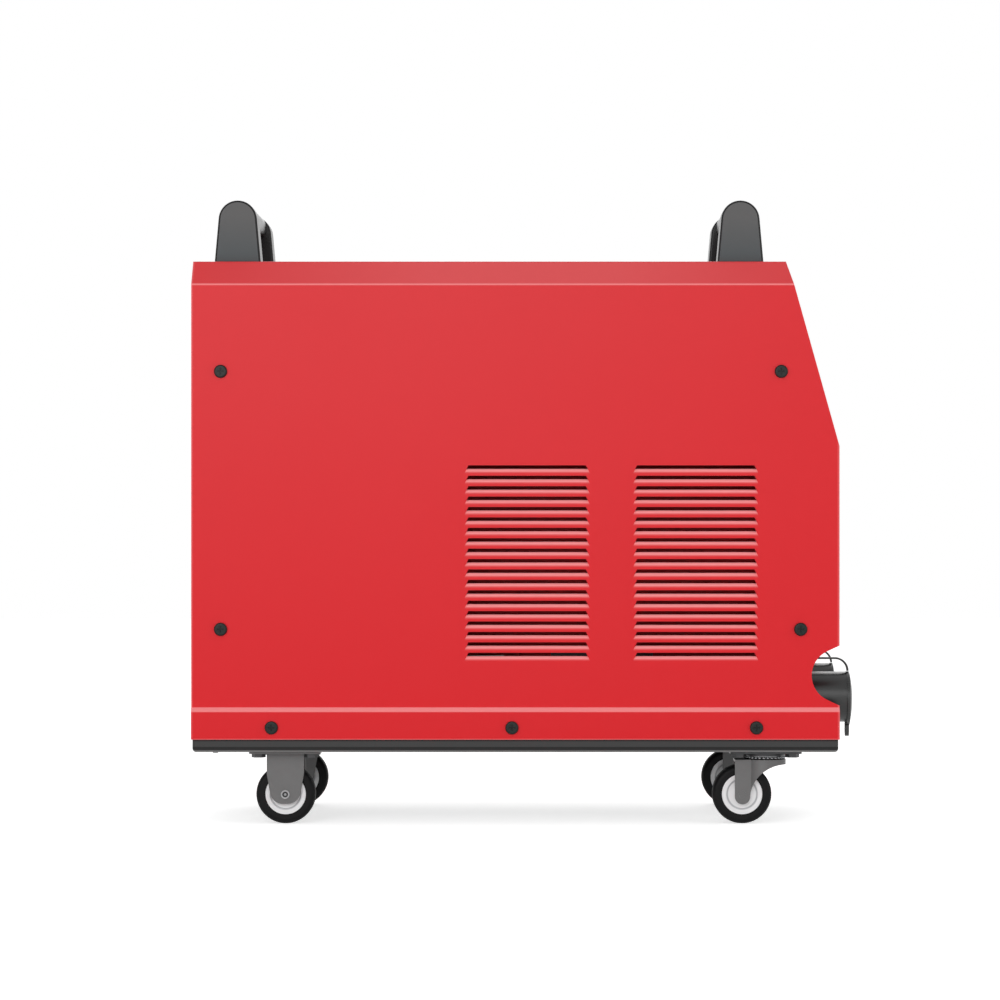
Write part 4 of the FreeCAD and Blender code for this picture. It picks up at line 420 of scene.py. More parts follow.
hose_start = (-0.2804, -0.1160, 0.1250)
hose_route = [
    hose_start,
    (-0.2400, -0.1160, 0.1250),
    (-0.1850, -0.1180, 0.0846),
    (-0.0800, -0.1260, 0.0846),
    (0.0300, -0.1310, 0.0846),
    (0.1300, -0.1280, 0.0846),
    (0.1850, -0.1195, 0.0900),
    (0.2350, -0.1075, 0.1340),
    (0.2706, -0.1075, 0.1340),
]
hose_diameter = 0.008
hose_draw = (0.0016, 2.0, 0.12, 0.00001, 0.1, 1.0, 1.0)
hose_curve = bpy.data.curves.new("air_hose_line", "CURVE")
hose_curve.dimensions = "3D"
hose_curve.bevel_depth = hose_diameter / 2
hose_curve.bevel_resolution = 6
hose_curve.resolution_u = 12
hose_curve.use_fill_caps = True
hose_line = hose_curve.splines.new("NURBS")
hose_line.points.add(len(hose_route) - 1)
for point, where in zip(hose_line.points, hose_route):
    point.co = (*where, 1.0)
hose_line.order_u = 3
hose_line.use_endpoint_u = True
hose_curve.materials.append(even_finish("hose polyurethane", srgb(24, 66, 148), srgb(36, 86, 176), 0.3,
                                        (0.02, 3.0, 0.0), hose_draw))
hose = linked("air_hose_tube", hose_curve)
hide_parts("air_hose")
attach(hose, "case")


# Rear panel: a shallow pan of black powder-coated steel, set in from the hood's edge.
# It carries the fan, the supply breaker, the cable gland, the air inlet and the earth stud.

@as_finish
def panel_coat(place, colour):
    """The panels' black powder coat, an even satin."""
    grain, cloud, roughness, height = powder_layers(place, 0.5)
    colours = mixed(cloud, shaded(colour, 0.95), shaded(colour, 1.05))
    return surface(colours, roughness, 0.0, height, Specular_IOR_Level=0.18)


panel_finish = panel_coat("panel powder coat", srgb(34, 36, 37))
give(panel_finish, "rear_panel")


# Fan: a black die-cast frame and a moulded seven-blade rotor behind a chromed wire guard.
# The rotor runs on a spindle fixed in the frame, and a blank foil disc is glued to its hub's face.

@as_finish
def rotor_with_hub(place, centre, hub_radius):
    """Grey-black blades, with a foil disc's brushed rings on the hub's face."""
    out = line_distance(place, centre, (0.0, 1.0, 1.0))
    hub = (1 - rise(out, hub_radius - 0.004, hub_radius - 0.0036)) * rise(out, 0.006, 0.0063)
    foil = hub * (1 - rise(along(place, "X"), centre[0] - 0.0180, centre[0] - 0.0178))
    moved = place.node("VectorMath", {0: place, 1: centre}, operation="SUBTRACT")
    brushed = {"Vector": moved, "Scale": 700.0, "Distortion": 0.8, "Detail": 2.0}
    rings = place.node("TexWave", brushed, "Fac", wave_type="RINGS", rings_direction="X")
    grain = noise(place, 0.0006)
    black = mixed(grain, srgb(40, 41, 43), srgb(50, 51, 54))
    colours = mixed(foil, black, mixed(rings, srgb(150, 152, 156), srgb(188, 190, 193)))
    roughness = 0.46 + (grain - 0.5) * 0.12 - foil * 0.14
    return surface(colours, roughness, foil * 0.9, grain * 0.00001)


fan_hub_radius = 0.031
casting_grey = srgb(52, 53, 56)
cast_sand = (0.0009, 3.0, 0.2, 0.00003)
weld_cloud = (0.006, 3.0, 0.12)
give(even_finish("fan casting", shaded(casting_grey, 0.9), shaded(casting_grey, 1.12), 0.5,
                 (0.03, 2.0, 0.0), cast_sand, 0.25), "fan_frame")
give(rotor_with_hub("fan rotor", joints["fan_spin"]["pos_m"], fan_hub_radius), "fan_rotor")
give(even_finish("chromed wire", srgb(196, 199, 203), srgb(222, 224, 227), 0.2,
                 weld_cloud, (0.001, 2.0, 0.0, 0.000006), 1.0), "fan_guard")


# Supply breaker: a moulded body behind the panel, with its bar lever resting down at OFF.
# ON and OFF are pad printed in white above and below the lever.

def moulded_black(name, colour, gloss, texture=0.000022):
    """Glass-filled nylon from a spark-eroded mould: an even fine grain with a soft sheen."""
    return even_finish(name, shaded(colour, 0.92), shaded(colour, 1.1), 1.0 - gloss, (0.035, 3.0, 0.08),
                       (0.00045, 2.0, 0.14, texture), Specular_IOR_Level=0.3)


def printing_ink(name, colour):
    """Screen ink: nearly flat, thinner in places, so that the panel shows through a little."""
    return even_finish(name, shaded(colour, 0.86), colour, 0.5, None, (0.0012, 3.0, 0.2, 0.000004))


def face_frame(origin, right, up):
    """A matrix from a flat face's own right, up and outward directions, at a point on it."""
    right, up = Vector(right).normalized(), Vector(up).normalized()
    turned = Matrix((right, up, right.cross(up))).transposed().to_4x4()
    return Matrix.Translation(Vector(origin)) @ turned


def begin(add, **how):
    """Adds a primitive with nothing else selected, and gives it back."""
    bpy.ops.object.select_all(action="DESELECT")
    add(**how)
    return bpy.context.object


def pick_all():
    """Selects the whole shape in hand."""
    bpy.ops.mesh.select_all(action="SELECT")


def put(piece, where):
    """Puts the selected piece at a place, and the place in its mesh."""
    piece.matrix_world = where
    bpy.ops.object.transform_apply(location=True, rotation=True, scale=True)


def joined(name, parts):
    """Several meshes made one piece, which is left selected."""
    bpy.ops.object.select_all(action="DESELECT")
    for part in parts:
        part.select_set(True)
    bpy.context.view_layer.objects.active = parts[0]
    if len(parts) > 1:
        bpy.ops.object.join()
    parts[0].name = name
    return parts[0]


def settle(piece, face, finish, body):
    """Puts a shaped piece on its face, and gives it its finish and its body."""
    joined(piece.name, [piece])
    bpy.ops.object.transform_apply(location=True, rotation=True, scale=True)
    put(piece, face)
    piece.data.materials.clear()
    piece.data.materials.append(finish)
    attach(piece, body)


ink_thickness = 0.00006
type_size = 1.38
square = math.pi / 2


def printed_text(words, height, x, y):
    """Printed letters as a thin mesh, centred on a point of a flat face."""
    letters = begin(bpy.ops.object.text_add, location=(x, y, 0.0))
    letters.data.body = words
    letters.data.size = height * type_size
    letters.data.align_x = "CENTER"
    letters.data.align_y = "CENTER"
    letters.data.resolution_u = 3
    letters.data.extrude = ink_thickness / 2
    bpy.ops.object.convert(target="MESH")
    return bpy.context.object


def printed_bar(length, width, x, y, turn=0.0):
    """A printed stroke with rounded ends, centred on a point of a flat face."""
    stroke = begin(bpy.ops.mesh.primitive_circle_add, vertices=12, radius=width / 2, fill_type="NGON")
    bpy.ops.object.mode_set(mode="EDIT")
    bpy.ops.mesh.select_all(action="DESELECT")
    mesh = bmesh.from_edit_mesh(stroke.data)
    for vertex in mesh.verts:
        vertex.select_set(vertex.co.y > 0.0)
    bmesh.update_edit_mesh(stroke.data)
    bpy.ops.transform.translate(value=(0.0, length - width, 0.0))
    pick_all()
    bpy.ops.transform.translate(value=(0.0, (width - length) / 2, 0.0))
    bpy.ops.mesh.extrude_region_move(TRANSFORM_OT_translate={"value": (0.0, 0.0, ink_thickness / 2)})
    bpy.ops.object.mode_set(mode="OBJECT")
    put(stroke, Matrix.Translation((x, y, 0.0)) @ Matrix.Rotation(turn, 4, "Z"))
    return stroke


def printed_arc(radius, width, start, sweep, x, y):
    """A printed arc of a circle round a point, from a start angle: a flat ribbon, turned face out."""
    arc = begin(bpy.ops.mesh.primitive_plane_add, size=1.0)
    bpy.ops.object.mode_set(mode="EDIT")
    bpy.ops.mesh.select_all(action="DESELECT")
    mesh = bmesh.from_edit_mesh(arc.data)
    bmesh.ops.delete(mesh, geom=[v for v in mesh.verts if v.co.y < 0.0], context="VERTS")
    for vertex in mesh.verts:
        vertex.co = (radius + math.copysign(width / 2, vertex.co.x), 0.0, 0.0)
        vertex.select_set(True)
    mesh.select_flush_mode()
    bmesh.update_edit_mesh(arc.data)
    pick_all()
    bpy.ops.mesh.spin(steps=48, angle=-sweep, center=(0.0, 0.0, 0.0), axis=(0.0, 0.0, 1.0))
    pick_all()
    bpy.ops.mesh.remove_doubles(threshold=0.00001)
    bpy.ops.mesh.flip_normals()
    bpy.ops.object.mode_set(mode="OBJECT")
    put(arc, Matrix.Translation((x, y, ink_thickness / 2)) @ Matrix.Rotation(start, 4, "Z"))
    return arc


white_ink = printing_ink("white ink", srgb(226, 227, 228))
lever_pivot = joints["breaker_lever_throw"]["pos_m"]
breaker_face = face_frame((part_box("breaker_body")[0].x, *lever_pivot[1:]), (0, -1, 0), (0, 0, 1))
give(moulded_black("breaker moulding", srgb(40, 41, 43), 0.5), "breaker_body")
give(moulded_black("lever moulding", srgb(30, 30, 32), 0.62), "breaker_lever")
words_height = 0.0052
on_up = 0.0165
off_down = -0.0178
breaker_print = joined("breaker_print", [
    printed_text("ON", words_height, 0.0, on_up),
    printed_text("OFF", words_height, 0.0, off_down),
])
settle(breaker_print, breaker_face, white_ink, "case")


# Cable gland, air inlet and earth stud: a black nylon gland, a brass hose tail, and a plated stud
# with its earth sign printed beside it. No cable hangs here, because the photograph shows none.

tarnish_cloud = (0.005, 4.0, 0.24)
turned_rings = (0.002, 2.0, 0.0, 0.000008, 9.0, 1.0, 1.0)
give(moulded_black("gland nylon", srgb(34, 34, 36), 0.56), "cable_gland")
give(even_finish("turned brass", srgb(178, 142, 76), srgb(216, 184, 112), 0.264,
                 tarnish_cloud, turned_rings, 1.0), "air_inlet")
give(bolt_finish, "earth_stud")
stud_low, stud_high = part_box("earth_stud")
stud_middle = (stud_low + stud_high) / 2
pan_sheet = 0.0015
rear_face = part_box("rear_panel")[1].x - pan_sheet
stud_face = face_frame((rear_face, stud_middle.y, stud_middle.z), (0, -1, 0), (0, 0, 1))
sign_line = 0.0010
earth_sign = joined("earth_sign", [
    printed_bar(0.0090, sign_line, 0.0, 0.0240),
    printed_bar(0.0120, sign_line, 0.0, 0.0195, square),
    printed_bar(0.0080, sign_line, 0.0, 0.0170, square),
    printed_bar(0.0040, sign_line, 0.0, 0.0145, square),
])
settle(earth_sign, stud_face, white_ink, "case")


# Socket panel: a flat black sheet set back behind the hood's notches, folded to a foot on the tray.
# It carries the two big sockets and the control socket, with + and - printed beside the big ones.

give(panel_finish, "socket_panel")
torch_low, torch_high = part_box("torch_socket")
earth_low, earth_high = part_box("earth_socket")
torch_axis = ((torch_low + torch_high) / 2).yz
earth_axis = ((earth_low + earth_high) / 2).yz
polarity_face = face_frame((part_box("socket_panel")[1].x, 0.0, torch_axis.y), (0, 1, 0), (0, 0, 1))
polarity_line = (0.0080, 0.0014)
polarity_across = 0.0700
polarity_up = 0.0310
polarity_marks = joined("polarity_marks", [
    printed_bar(*polarity_line, -polarity_across, polarity_up, square),
    printed_bar(*polarity_line, polarity_across, polarity_up, square),
    printed_bar(*polarity_line, polarity_across, polarity_up),
])
settle(polarity_marks, polarity_face, white_ink, "case")


# Sockets: black insulating bodies screwed through the panel, with brass inside them.
# The torch's has a brass ring round its air pin, and the work lead's a brass bayonet insert.

@as_finish
def socket_moulding(place, axis, widest, narrowest, back, front):
    """Black moulding, with brass between two radii from the socket's axis and two depths."""
    out = line_distance(place, (0.0, *axis), (0.0, 1.0, 1.0))
    ring = band(out, narrowest - 0.0001, widest + 0.0001, 0.0001)
    metal = ring * band(along(place, "X"), back - 0.0001, front + 0.0001, 0.0001)
    tarnish = noise(place, 0.004, 4.0)
    grain = noise(place, 0.0005)
    black = mixed(tarnish, srgb(24, 24, 26), srgb(33, 33, 35))
    colours = mixed(metal, black, mixed(tarnish, srgb(176, 140, 74), srgb(214, 182, 110)))
    roughness = 0.44 + (grain - 0.5) * 0.12 - metal * 0.16
    return surface(colours, roughness, metal, grain * 0.00001, Specular_IOR_Level=0.3)


brass_back = 0.2990
pins_back = 0.3001
pins_front = 0.3065
torch_brass = (0.01505, 0.01245, brass_back, torch_high.x - 0.0038)
earth_brass = (0.01005, 0.0, brass_back, earth_high.x - 0.0028)
pin_brass = (0.0060, 0.0, pins_back, pins_front)
give(socket_moulding("torch socket", torch_axis, *torch_brass), "torch_socket")
give(socket_moulding("earth socket", earth_axis, *earth_brass), "earth_socket")
give(socket_moulding("control socket", (0.0, torch_axis.y), *pin_brass), "control_socket")


# Dust caps: black rubber cups pushed over the socket necks, each with a domed face and a pull tab.
# They come smooth from a polished mould, and hold a faint bloom where they have been handled.

rubber_bloom = (0.016, 4.0, 0.12)
rubber_ripple = (0.0008, 2.0, 0.06, 0.000006)
rubber_finish = even_finish("dust cap rubber", srgb(14, 15, 15), srgb(27, 29, 29), 0.30,
                            rubber_bloom, rubber_ripple, Specular_IOR_Level=0.55)
give(rubber_finish, "torch_cap", "earth_cap")


# Cap tethers: one rubber moulding each, a ring that lies behind the cap and a flat band from its top,
# which turns forward over the cap and comes down on its rim.

tether_ring_inner = 0.0235
tether_ring_outer = 0.0280
tether_ring_depth = 0.0024
tether_width = 0.0080
tether_sheet = 0.0020
tether_rear_turn = 0.0050
tether_front_turn = 0.0136
tether_edge = 0.0007


def tether_loop(where, turn, across, along_it):
    """The rounded outline of a tether's section, its two sizes across and along."""
    outline = begin(bpy.ops.mesh.primitive_plane_add, size=1.0)
    put(outline, Matrix.Translation(where) @ turn @ Matrix.Diagonal((across, along_it, 1.0, 1.0)))
    bpy.ops.object.mode_set(mode="EDIT")
    pick_all()
    bpy.ops.mesh.bevel(offset=tether_edge, segments=3, affect="VERTICES")
    pick_all()
    bpy.ops.mesh.delete(type="ONLY_FACE")
    pick_all()
    return outline


def band_run(step):
    """Draws the band's open end straight on."""
    bpy.ops.mesh.extrude_region_move(TRANSFORM_OT_translate={"value": step})


def band_turn(centre, steps):
    """Turns the band's open end forward through a right angle."""
    bpy.ops.mesh.spin(steps=steps, angle=-square, center=centre, axis=(0.0, 1.0, 0.0))


def close_shell():
    """Turns all the faces of the shape in hand outwards, and leaves edit mode."""
    pick_all()
    bpy.ops.mesh.normals_make_consistent(inside=False)
    bpy.ops.object.mode_set(mode="OBJECT")


def tether(name, node):
    """A tether: the ring is spun round the socket, and the band drawn from it to the cap's rim."""
    low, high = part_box(node)
    y = (low.y + high.y) / 2
    axis_z = torch_axis.y
    foot = axis_z + (tether_ring_inner + tether_ring_outer) / 2
    section_place = (low.x + tether_ring_depth / 2, y, foot)
    stand = Matrix.Rotation(square, 4, "X")
    ring = tether_loop(section_place, stand, tether_ring_depth, tether_ring_outer - tether_ring_inner)
    bpy.ops.mesh.spin(steps=72, angle=2 * math.pi, center=(0.0, y, axis_z), axis=(1.0, 0.0, 0.0))
    pick_all()
    bpy.ops.mesh.remove_doubles(threshold=0.00001)
    close_shell()
    back = low.x + tether_sheet / 2
    top = high.z - tether_sheet / 2
    front = high.x - tether_sheet / 2
    strip = tether_loop((back, y, foot), Matrix.Identity(4), tether_sheet, tether_width)
    band_run((0.0, 0.0, top - tether_rear_turn - foot))
    band_turn((back + tether_rear_turn, y, top - tether_rear_turn), 8)
    run = front - tether_front_turn - back - tether_rear_turn
    for _ in range(6):
        band_run((run / 6, 0.0, 0.0))
    band_turn((front - tether_front_turn, y, top - tether_front_turn), 16)
    pick_all()
    bpy.ops.mesh.fill_holes(sides=0)
    close_shell()
    piece = joined(name, [ring, strip])
    bpy.ops.object.shade_smooth_by_angle(angle=math.radians(40))
    piece.data.materials.append(rubber_finish)
    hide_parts(node)
    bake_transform(piece)


tether("torch_tether", "torch_cap_strap")
tether("earth_tether", "earth_cap_strap")


# Control panel: the sloping face inside the hood's front, folded from sheet and powder coated black,
# with its scales and frames screen printed in white.

give(panel_finish, "control_panel")
dial_joint = joints["current_knob_turn"]
slope_out = -Vector(dial_joint["axis"])
slope_up = Vector((-slope_out.z, 0.0, slope_out.x))
slope_face = face_frame(dial_joint["pos_m"], (0, 1, 0), slope_up)
slope_inward = slope_face.inverted()
scale_start = math.pi * 1.25
scale_sweep = math.pi * 1.5


def on_slope(point):
    """A point's place on the sloping face: across, up and out from the current knob's middle."""
    return slope_inward @ Vector(point)


def across_slope(place):
    """The place on a piece in the sloping face's own directions, for a pattern laid out on it."""
    shift, turn = slope_inward.to_translation(), slope_inward.to_euler()
    return place.node("Mapping", {"Vector": place, "Location": shift, "Rotation": turn})


def scale_point(share, radius, x, y):
    """A point of a round scale, by its share of the sweep from the lower left, and its angle."""
    angle = scale_start - scale_sweep * share
    return x + radius * math.cos(angle), y + radius * math.sin(angle), angle


def scale_marks(radius, count, minor, x, y):
    """A round scale over three quarters of a turn, its arc and its ticks, long and short."""
    marks = [printed_arc(radius, 0.0005, -math.pi / 4, scale_sweep, x, y)]
    steps = (count - 1) * minor
    for step in range(steps + 1):
        length = 0.0042 if step % minor == 0 else 0.0022
        tick_x, tick_y, angle = scale_point(step / steps, radius + length / 2, x, y)
        marks.append(printed_bar(length, 0.0006, tick_x, tick_y, angle - square))
    return marks


def scale_numbers(radius, numbers, height, x, y):
    """The numbers of a round scale, from its lower left to its lower right."""
    letters = []
    for step, number in enumerate(numbers):
        number_x, number_y, _ = scale_point(step / (len(numbers) - 1), radius, x, y)
        letters.append(printed_text(str(number), height, number_x, number_y))
    return letters


def printed_frame(left, right, bottom, top, width=0.0006):
    """Four printed lines round a group of controls."""
    across, up = (left + right) / 2, (bottom + top) / 2
    return [
        printed_bar(right - left, width, across, bottom, square),
        printed_bar(right - left, width, across, top, square),
        printed_bar(top - bottom, width, left, up),
        printed_bar(top - bottom, width, right, up),
    ]


flow_at = on_slope(joints["flow_knob_turn"]["pos_m"])
panel_marks = scale_marks(0.0290, 9, 2, 0.0, 0.0)
panel_marks += scale_numbers(0.0388, range(20, 101, 10), 0.0040, 0.0, 0.0)
panel_marks += scale_marks(0.0205, 4, 5, flow_at.x, flow_at.y)
panel_marks += scale_numbers(0.0290, range(0, 16, 5), 0.0036, flow_at.x, flow_at.y)
panel_marks.append(printed_text("A", 0.0056, 0.0, -0.0330))
panel_marks.append(printed_text("s", 0.0052, flow_at.x, flow_at.y - 0.0250))
for rocker in ("mode_rocker", "gas_rocker"):
    rocker_low, rocker_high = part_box(rocker)
    rocker_y = (rocker_low + rocker_high).y / 2
    panel_marks.append(printed_bar(0.0044, 0.0009, rocker_y, 0.0205))
    panel_marks.append(printed_arc(0.0020, 0.0007, 0.0, math.tau, rocker_y, -0.0210))
for frame_edges in (
    (-0.1320, -0.0640, -0.0290, 0.0290),
    (-0.0540, 0.0540, -0.0450, 0.0510),
    (0.0640, 0.1320, -0.0400, 0.0400),
    (0.0660, 0.1300, 0.0700, 0.0940),
):
    panel_marks += printed_frame(*frame_edges)
settle(joined("panel_print", panel_marks), slope_face, white_ink, "case")


# Window and display: a smoked acrylic window in the panel, over a block of three digits on the board.
# The unit is drawn switched off, so the digits are unlit segments, given a faint painted red glow so that
# they show through the window.

@as_finish
def see_through(place, tint, film_share):
    """Clear or tinted plastic: light passes straight through it, and its face reflects at a low angle."""
    passed = place.node("BsdfTransparent", {"Color": tint}, "BSDF")
    shine = place.node("BsdfGlossy", {"Color": srgb(255, 255, 255), "Roughness": 0.05}, "BSDF")
    film = noise(place, 0.015, 4.0)
    facing = place.node("LayerWeight", {"Blend": 0.5}, "Facing")
    edge = facing ** 5.0 * 0.9 + 0.03 + film * film_share
    return place.node("MixShader", {0: edge, 1: passed, 2: shine}, "Shader")


give(see_through("smoked acrylic", srgb(176, 174, 178), 0.012), "display_window")
window_low, window_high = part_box("display_window")
window_at = on_slope((window_low + window_high) / 2)
digit_height = 0.0200
digit_width = 0.0110
digit_step = 0.0180
segment_width = 0.0018
segment_gap = 0.0008
segments = []
for digit in (-digit_step, 0.0, digit_step):
    for level in (-1, 0, 1):
        flat_length = digit_width - segment_gap * 2
        segments.append(printed_bar(flat_length, segment_width, digit, level * digit_height / 2, square))
    for side in (-1, 1):
        for half in (-1, 1):
            upright = digit_height / 2 - segment_gap * 2
            side_x = digit + side * digit_width / 2
            segments.append(printed_bar(upright, segment_width, side_x, half * digit_height / 4))
display_recess = 0.0060
display_face = slope_face @ Matrix.Translation((window_at.x, window_at.y, -display_recess))
# The segments glow with painted light, though the display is off.
segment_glow_finish = even_finish("unlit segment", srgb(150, 96, 90), srgb(172, 110, 102), 0.45, None,
                             (0.004, 2.0, 0.1, 0.00001), Emission_Color=srgb(226, 96, 84),
                             Emission_Strength=0.9)
settle(joined("display_digits", segments), display_face, segment_glow_finish, "case")


# Control board: green glass board on posts behind the panel, with the display block and the knobs'
# potentiometers. Their threaded bushes come through the panel, under plated nuts.

@as_finish
def control_board_parts(place, board_depth, nuts_depth):
    """Green board with its tracks, black parts in front of it, and plated nuts foremost."""
    out = along(across_slope(place), "Z")
    flat = 1 - rise(out, -board_depth, -board_depth + 0.0002)
    plated = rise(out, -nuts_depth, -nuts_depth + 0.0002)
    speck = noise(place, 0.0014)
    cloud = noise(place, 0.012, 3.0)
    tracks = rise(noise(place, 0.0035, 0.0), 0.5, 0.54)
    green = mixed(tracks, srgb(24, 84, 48), srgb(38, 108, 62))
    black = mixed(cloud, srgb(26, 26, 28), srgb(36, 36, 38))
    zinc = mixed(cloud, srgb(168, 170, 172), srgb(192, 193, 195))
    colours = mixed(plated, mixed(flat, black, green), zinc)
    roughness = 0.46 + (speck - 0.5) * 0.14 - plated * 0.14
    return surface(colours, roughness, plated, speck * 0.00002)


give(control_board_parts("control board", 0.0261, 0.0026), "control_board")


# Gauge: a black cup and bezel through the panel, a white printed dial, a needle and a flat glass.
# The dial is drawn in bar, from 0 to 10 over three quarters of a turn.

def axis_distance(local, middle):
    """Distance from an axis that stands on the slope at a middle."""
    return line_distance(local, (middle[0], middle[1], 0.0), (1.0, 1.0, 0.0))


@as_finish
def gauge_cup(place, axis, depth):
    """Black moulding, with the white dial on the cup's floor."""
    local = across_slope(place)
    dial = band(along(local, "Z"), -depth - 0.00055, -depth + 0.00015, 0.00005)
    dial = dial * (1 - rise(axis_distance(local, axis), 0.0228, 0.0230))
    cloud = noise(place, 0.01, 3.0)
    grain = noise(place, 0.0004)
    black = mixed(cloud, srgb(24, 24, 26), srgb(33, 33, 35))
    colours = mixed(dial, black, mixed(cloud, srgb(232, 232, 228), srgb(240, 240, 237)))
    roughness = 0.36 + (grain - 0.5) * 0.12 + dial * 0.2
    return surface(colours, roughness, 0.0, grain * 0.000008, Specular_IOR_Level=0.35)


gauge_axis = on_slope(joints["gauge_needle_turn"]["pos_m"])
dial_depth = 0.0030
give(gauge_cup("gauge cup and dial", gauge_axis, dial_depth), "gauge_case")
gauge_marks = scale_marks(0.0178, 11, 5, 0.0, 0.0) + scale_numbers(0.0140, range(0, 11), 0.0023, 0.0, 0.0)
gauge_marks.append(printed_text("bar", 0.0026, 0.0, -0.0085))
gauge_face = slope_face @ Matrix.Translation((gauge_axis.x, gauge_axis.y, -dial_depth))
settle(joined("gauge_print", gauge_marks), gauge_face, printing_ink("black ink", srgb(22, 22, 24)), "case")
give(see_through("gauge glass", (0.97, 0.98, 0.98, 1.0), 0.008), "gauge_lens")
give(even_finish("needle paint", srgb(196, 30, 30), srgb(208, 40, 38), 0.42, None, (0.0009, 2.0, 0.1, 0.0)),
     "gauge_needle")


# Signal lamps: three holders with chromed bezels and domed lenses, green for power, amber for heat
# and red for a fault, all unlit.

@as_finish
def lamp_holders(place, middle, level, step):
    """Chromed bezels round three lenses, whose colours change between them."""
    local = across_slope(place)
    across = along(local, "X")
    cloud = noise(place, 0.002)
    lens = 0.0
    for column in (-1, 0, 1):
        out = axis_distance(local, (middle + column * step, level))
        lens = (1 - rise(out, 0.0040, 0.0041)) + lens
    green = mixed(cloud, srgb(22, 116, 60), srgb(34, 136, 74))
    amber = mixed(cloud, srgb(196, 122, 18), srgb(214, 142, 30))
    red = mixed(cloud, srgb(168, 20, 22), srgb(190, 30, 30))
    left, right = middle - step / 2, middle + step / 2
    glass = mixed(rise(across, left - 0.0001, left + 0.0001), green, amber)
    glass = mixed(rise(across, right - 0.0001, right + 0.0001), glass, red)
    colours = mixed(lens, srgb(212, 213, 214), glass)
    return surface(colours, 0.14 + (cloud - 0.5) * 0.06, 1 - lens)


lamp_low, lamp_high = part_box("indicator_lamps")
lamp_middle = on_slope((lamp_low + lamp_high) / 2)
lamp_level = 0.0820
lamp_radius = 0.0056
lamp_step = (lamp_high.y - lamp_low.y) / 2 - lamp_radius
give(lamp_holders("lamp holders", lamp_middle.x, lamp_level, lamp_step), "indicator_lamps")


# Rocker switches: black nylon housings clipped into the panel, each with a two-way rocker.
# A rocker's two faces meet at a crest, and it tips on pins in its housing's sides.

give(moulded_black("switch housing", srgb(26, 26, 28), 0.5), "rocker_housings")
give(moulded_black("switch rocker", srgb(21, 21, 23), 0.66, 0.000006), "mode_rocker", "gas_rocker")


# Knobs: fluted black mouldings on the potentiometers' spindles. Each has a white line in its groove,
# and a spun aluminium disc glued on its top.

@as_finish
def knob_moulding(place, middle, radius, top):
    """Black moulding with white in the pointer groove, and the spindle's steel below it."""
    local = across_slope(place)
    across = along(local, "X")
    out = along(local, "Z")
    from_axis = axis_distance(local, middle)
    line = band(out, top - 0.00115, top - 0.00075, 0.00005)
    line = line * band(across, middle.x - 0.000975, middle.x + 0.000975, 0.000025)
    line = line * rise(from_axis, radius * 0.25 - 0.0001, radius * 0.25)
    line = line * (1 - rise(from_axis, radius * 0.93, radius * 0.94))
    steel = (1 - rise(from_axis, 0.00301, 0.00306)) * (1 - rise(out, -0.0001, 0.0))
    cloud = noise(place, 0.012, 3.0)
    grain = noise(place, 0.0004)
    colours = mixed(line, mixed(cloud, srgb(22, 22, 24), srgb(31, 31, 33)), srgb(228, 228, 226))
    colours = mixed(steel, colours, mixed(cloud, srgb(150, 152, 154), srgb(176, 178, 180)))
    roughness = 0.4 + (grain - 0.5) * 0.14 - steel * 0.1
    return surface(colours, roughness, steel, grain * 0.000012, Specular_IOR_Level=0.35)


@as_finish
def spun_aluminium(place, centre):
    """Turned aluminium: fine rings round its centre."""
    away = place.node("VectorMath", {0: place, 1: centre}, "Value", operation="DISTANCE")
    turned = {"W": away * 5200.0, "Scale": 1.0, "Detail": 2.0}
    rings = place.node("TexNoise", turned, "Fac", noise_dimensions="1D")
    colours = mixed(rings, srgb(134, 136, 138), srgb(168, 170, 172))
    return surface(colours, 0.3 + (rings - 0.5) * 0.16, 1.0, rings * 0.000004)


def knob_disc(name, middle, radius, top, body):
    """A thin disc with a chamfered edge and a stepped middle, on a knob's top."""
    disc = begin(bpy.ops.mesh.primitive_circle_add, vertices=64, radius=radius, fill_type="NGON")
    bpy.ops.object.mode_set(mode="EDIT")
    pick_all()
    bpy.ops.mesh.extrude_region_move(TRANSFORM_OT_translate={"value": (0.0, 0.0, 0.0003)})
    bpy.ops.mesh.inset(thickness=0.0003, depth=0.0002)
    bpy.ops.mesh.inset(thickness=radius * 0.2, depth=0.0)
    bpy.ops.mesh.inset(thickness=0.0002, depth=-0.0002)
    close_shell()
    disc.name = name
    bpy.ops.object.shade_smooth_by_angle(angle=math.radians(20))
    face = slope_face @ Matrix.Translation((middle.x, middle.y, top))
    settle(disc, face, spun_aluminium(name, face.to_translation()), body)


current_at = on_slope(dial_joint["pos_m"])
knob_bottom = 0.0034
current_top = knob_bottom + 0.0210
flow_top = knob_bottom + 0.0170
give(knob_moulding("current knob", current_at, 0.0220, current_top), "current_knob")
give(knob_moulding("flow knob", flow_at, 0.0150, flow_top), "flow_knob")
knob_disc("current_knob_disc", current_at, 0.0136, current_top, "current_dial")
knob_disc("flow_knob_disc", flow_at, 0.0090, flow_top, "flow_dial")


# Hood: one folded sheet of 1.5 mm steel, with pressed louvres, notched for the sockets and screwed to
# the tray and panels. Its red powder coat is smooth and semi-gloss, with painted highlights at each fold,
# edge and louvre flap, and a painted gradient of light up its side.

hood_low, hood_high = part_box("hood_cover")
hood_joggle = 0.0040
side_face = hood_high.y - hood_joggle
hood_step_bottom = hood_low.z + 0.0296
hood_step_top = hood_step_bottom + hood_joggle
hood_side_top = hood_high.z - 0.0257
louvres_rear = -0.064
louvres_front = 0.250
louvres_top = 0.405


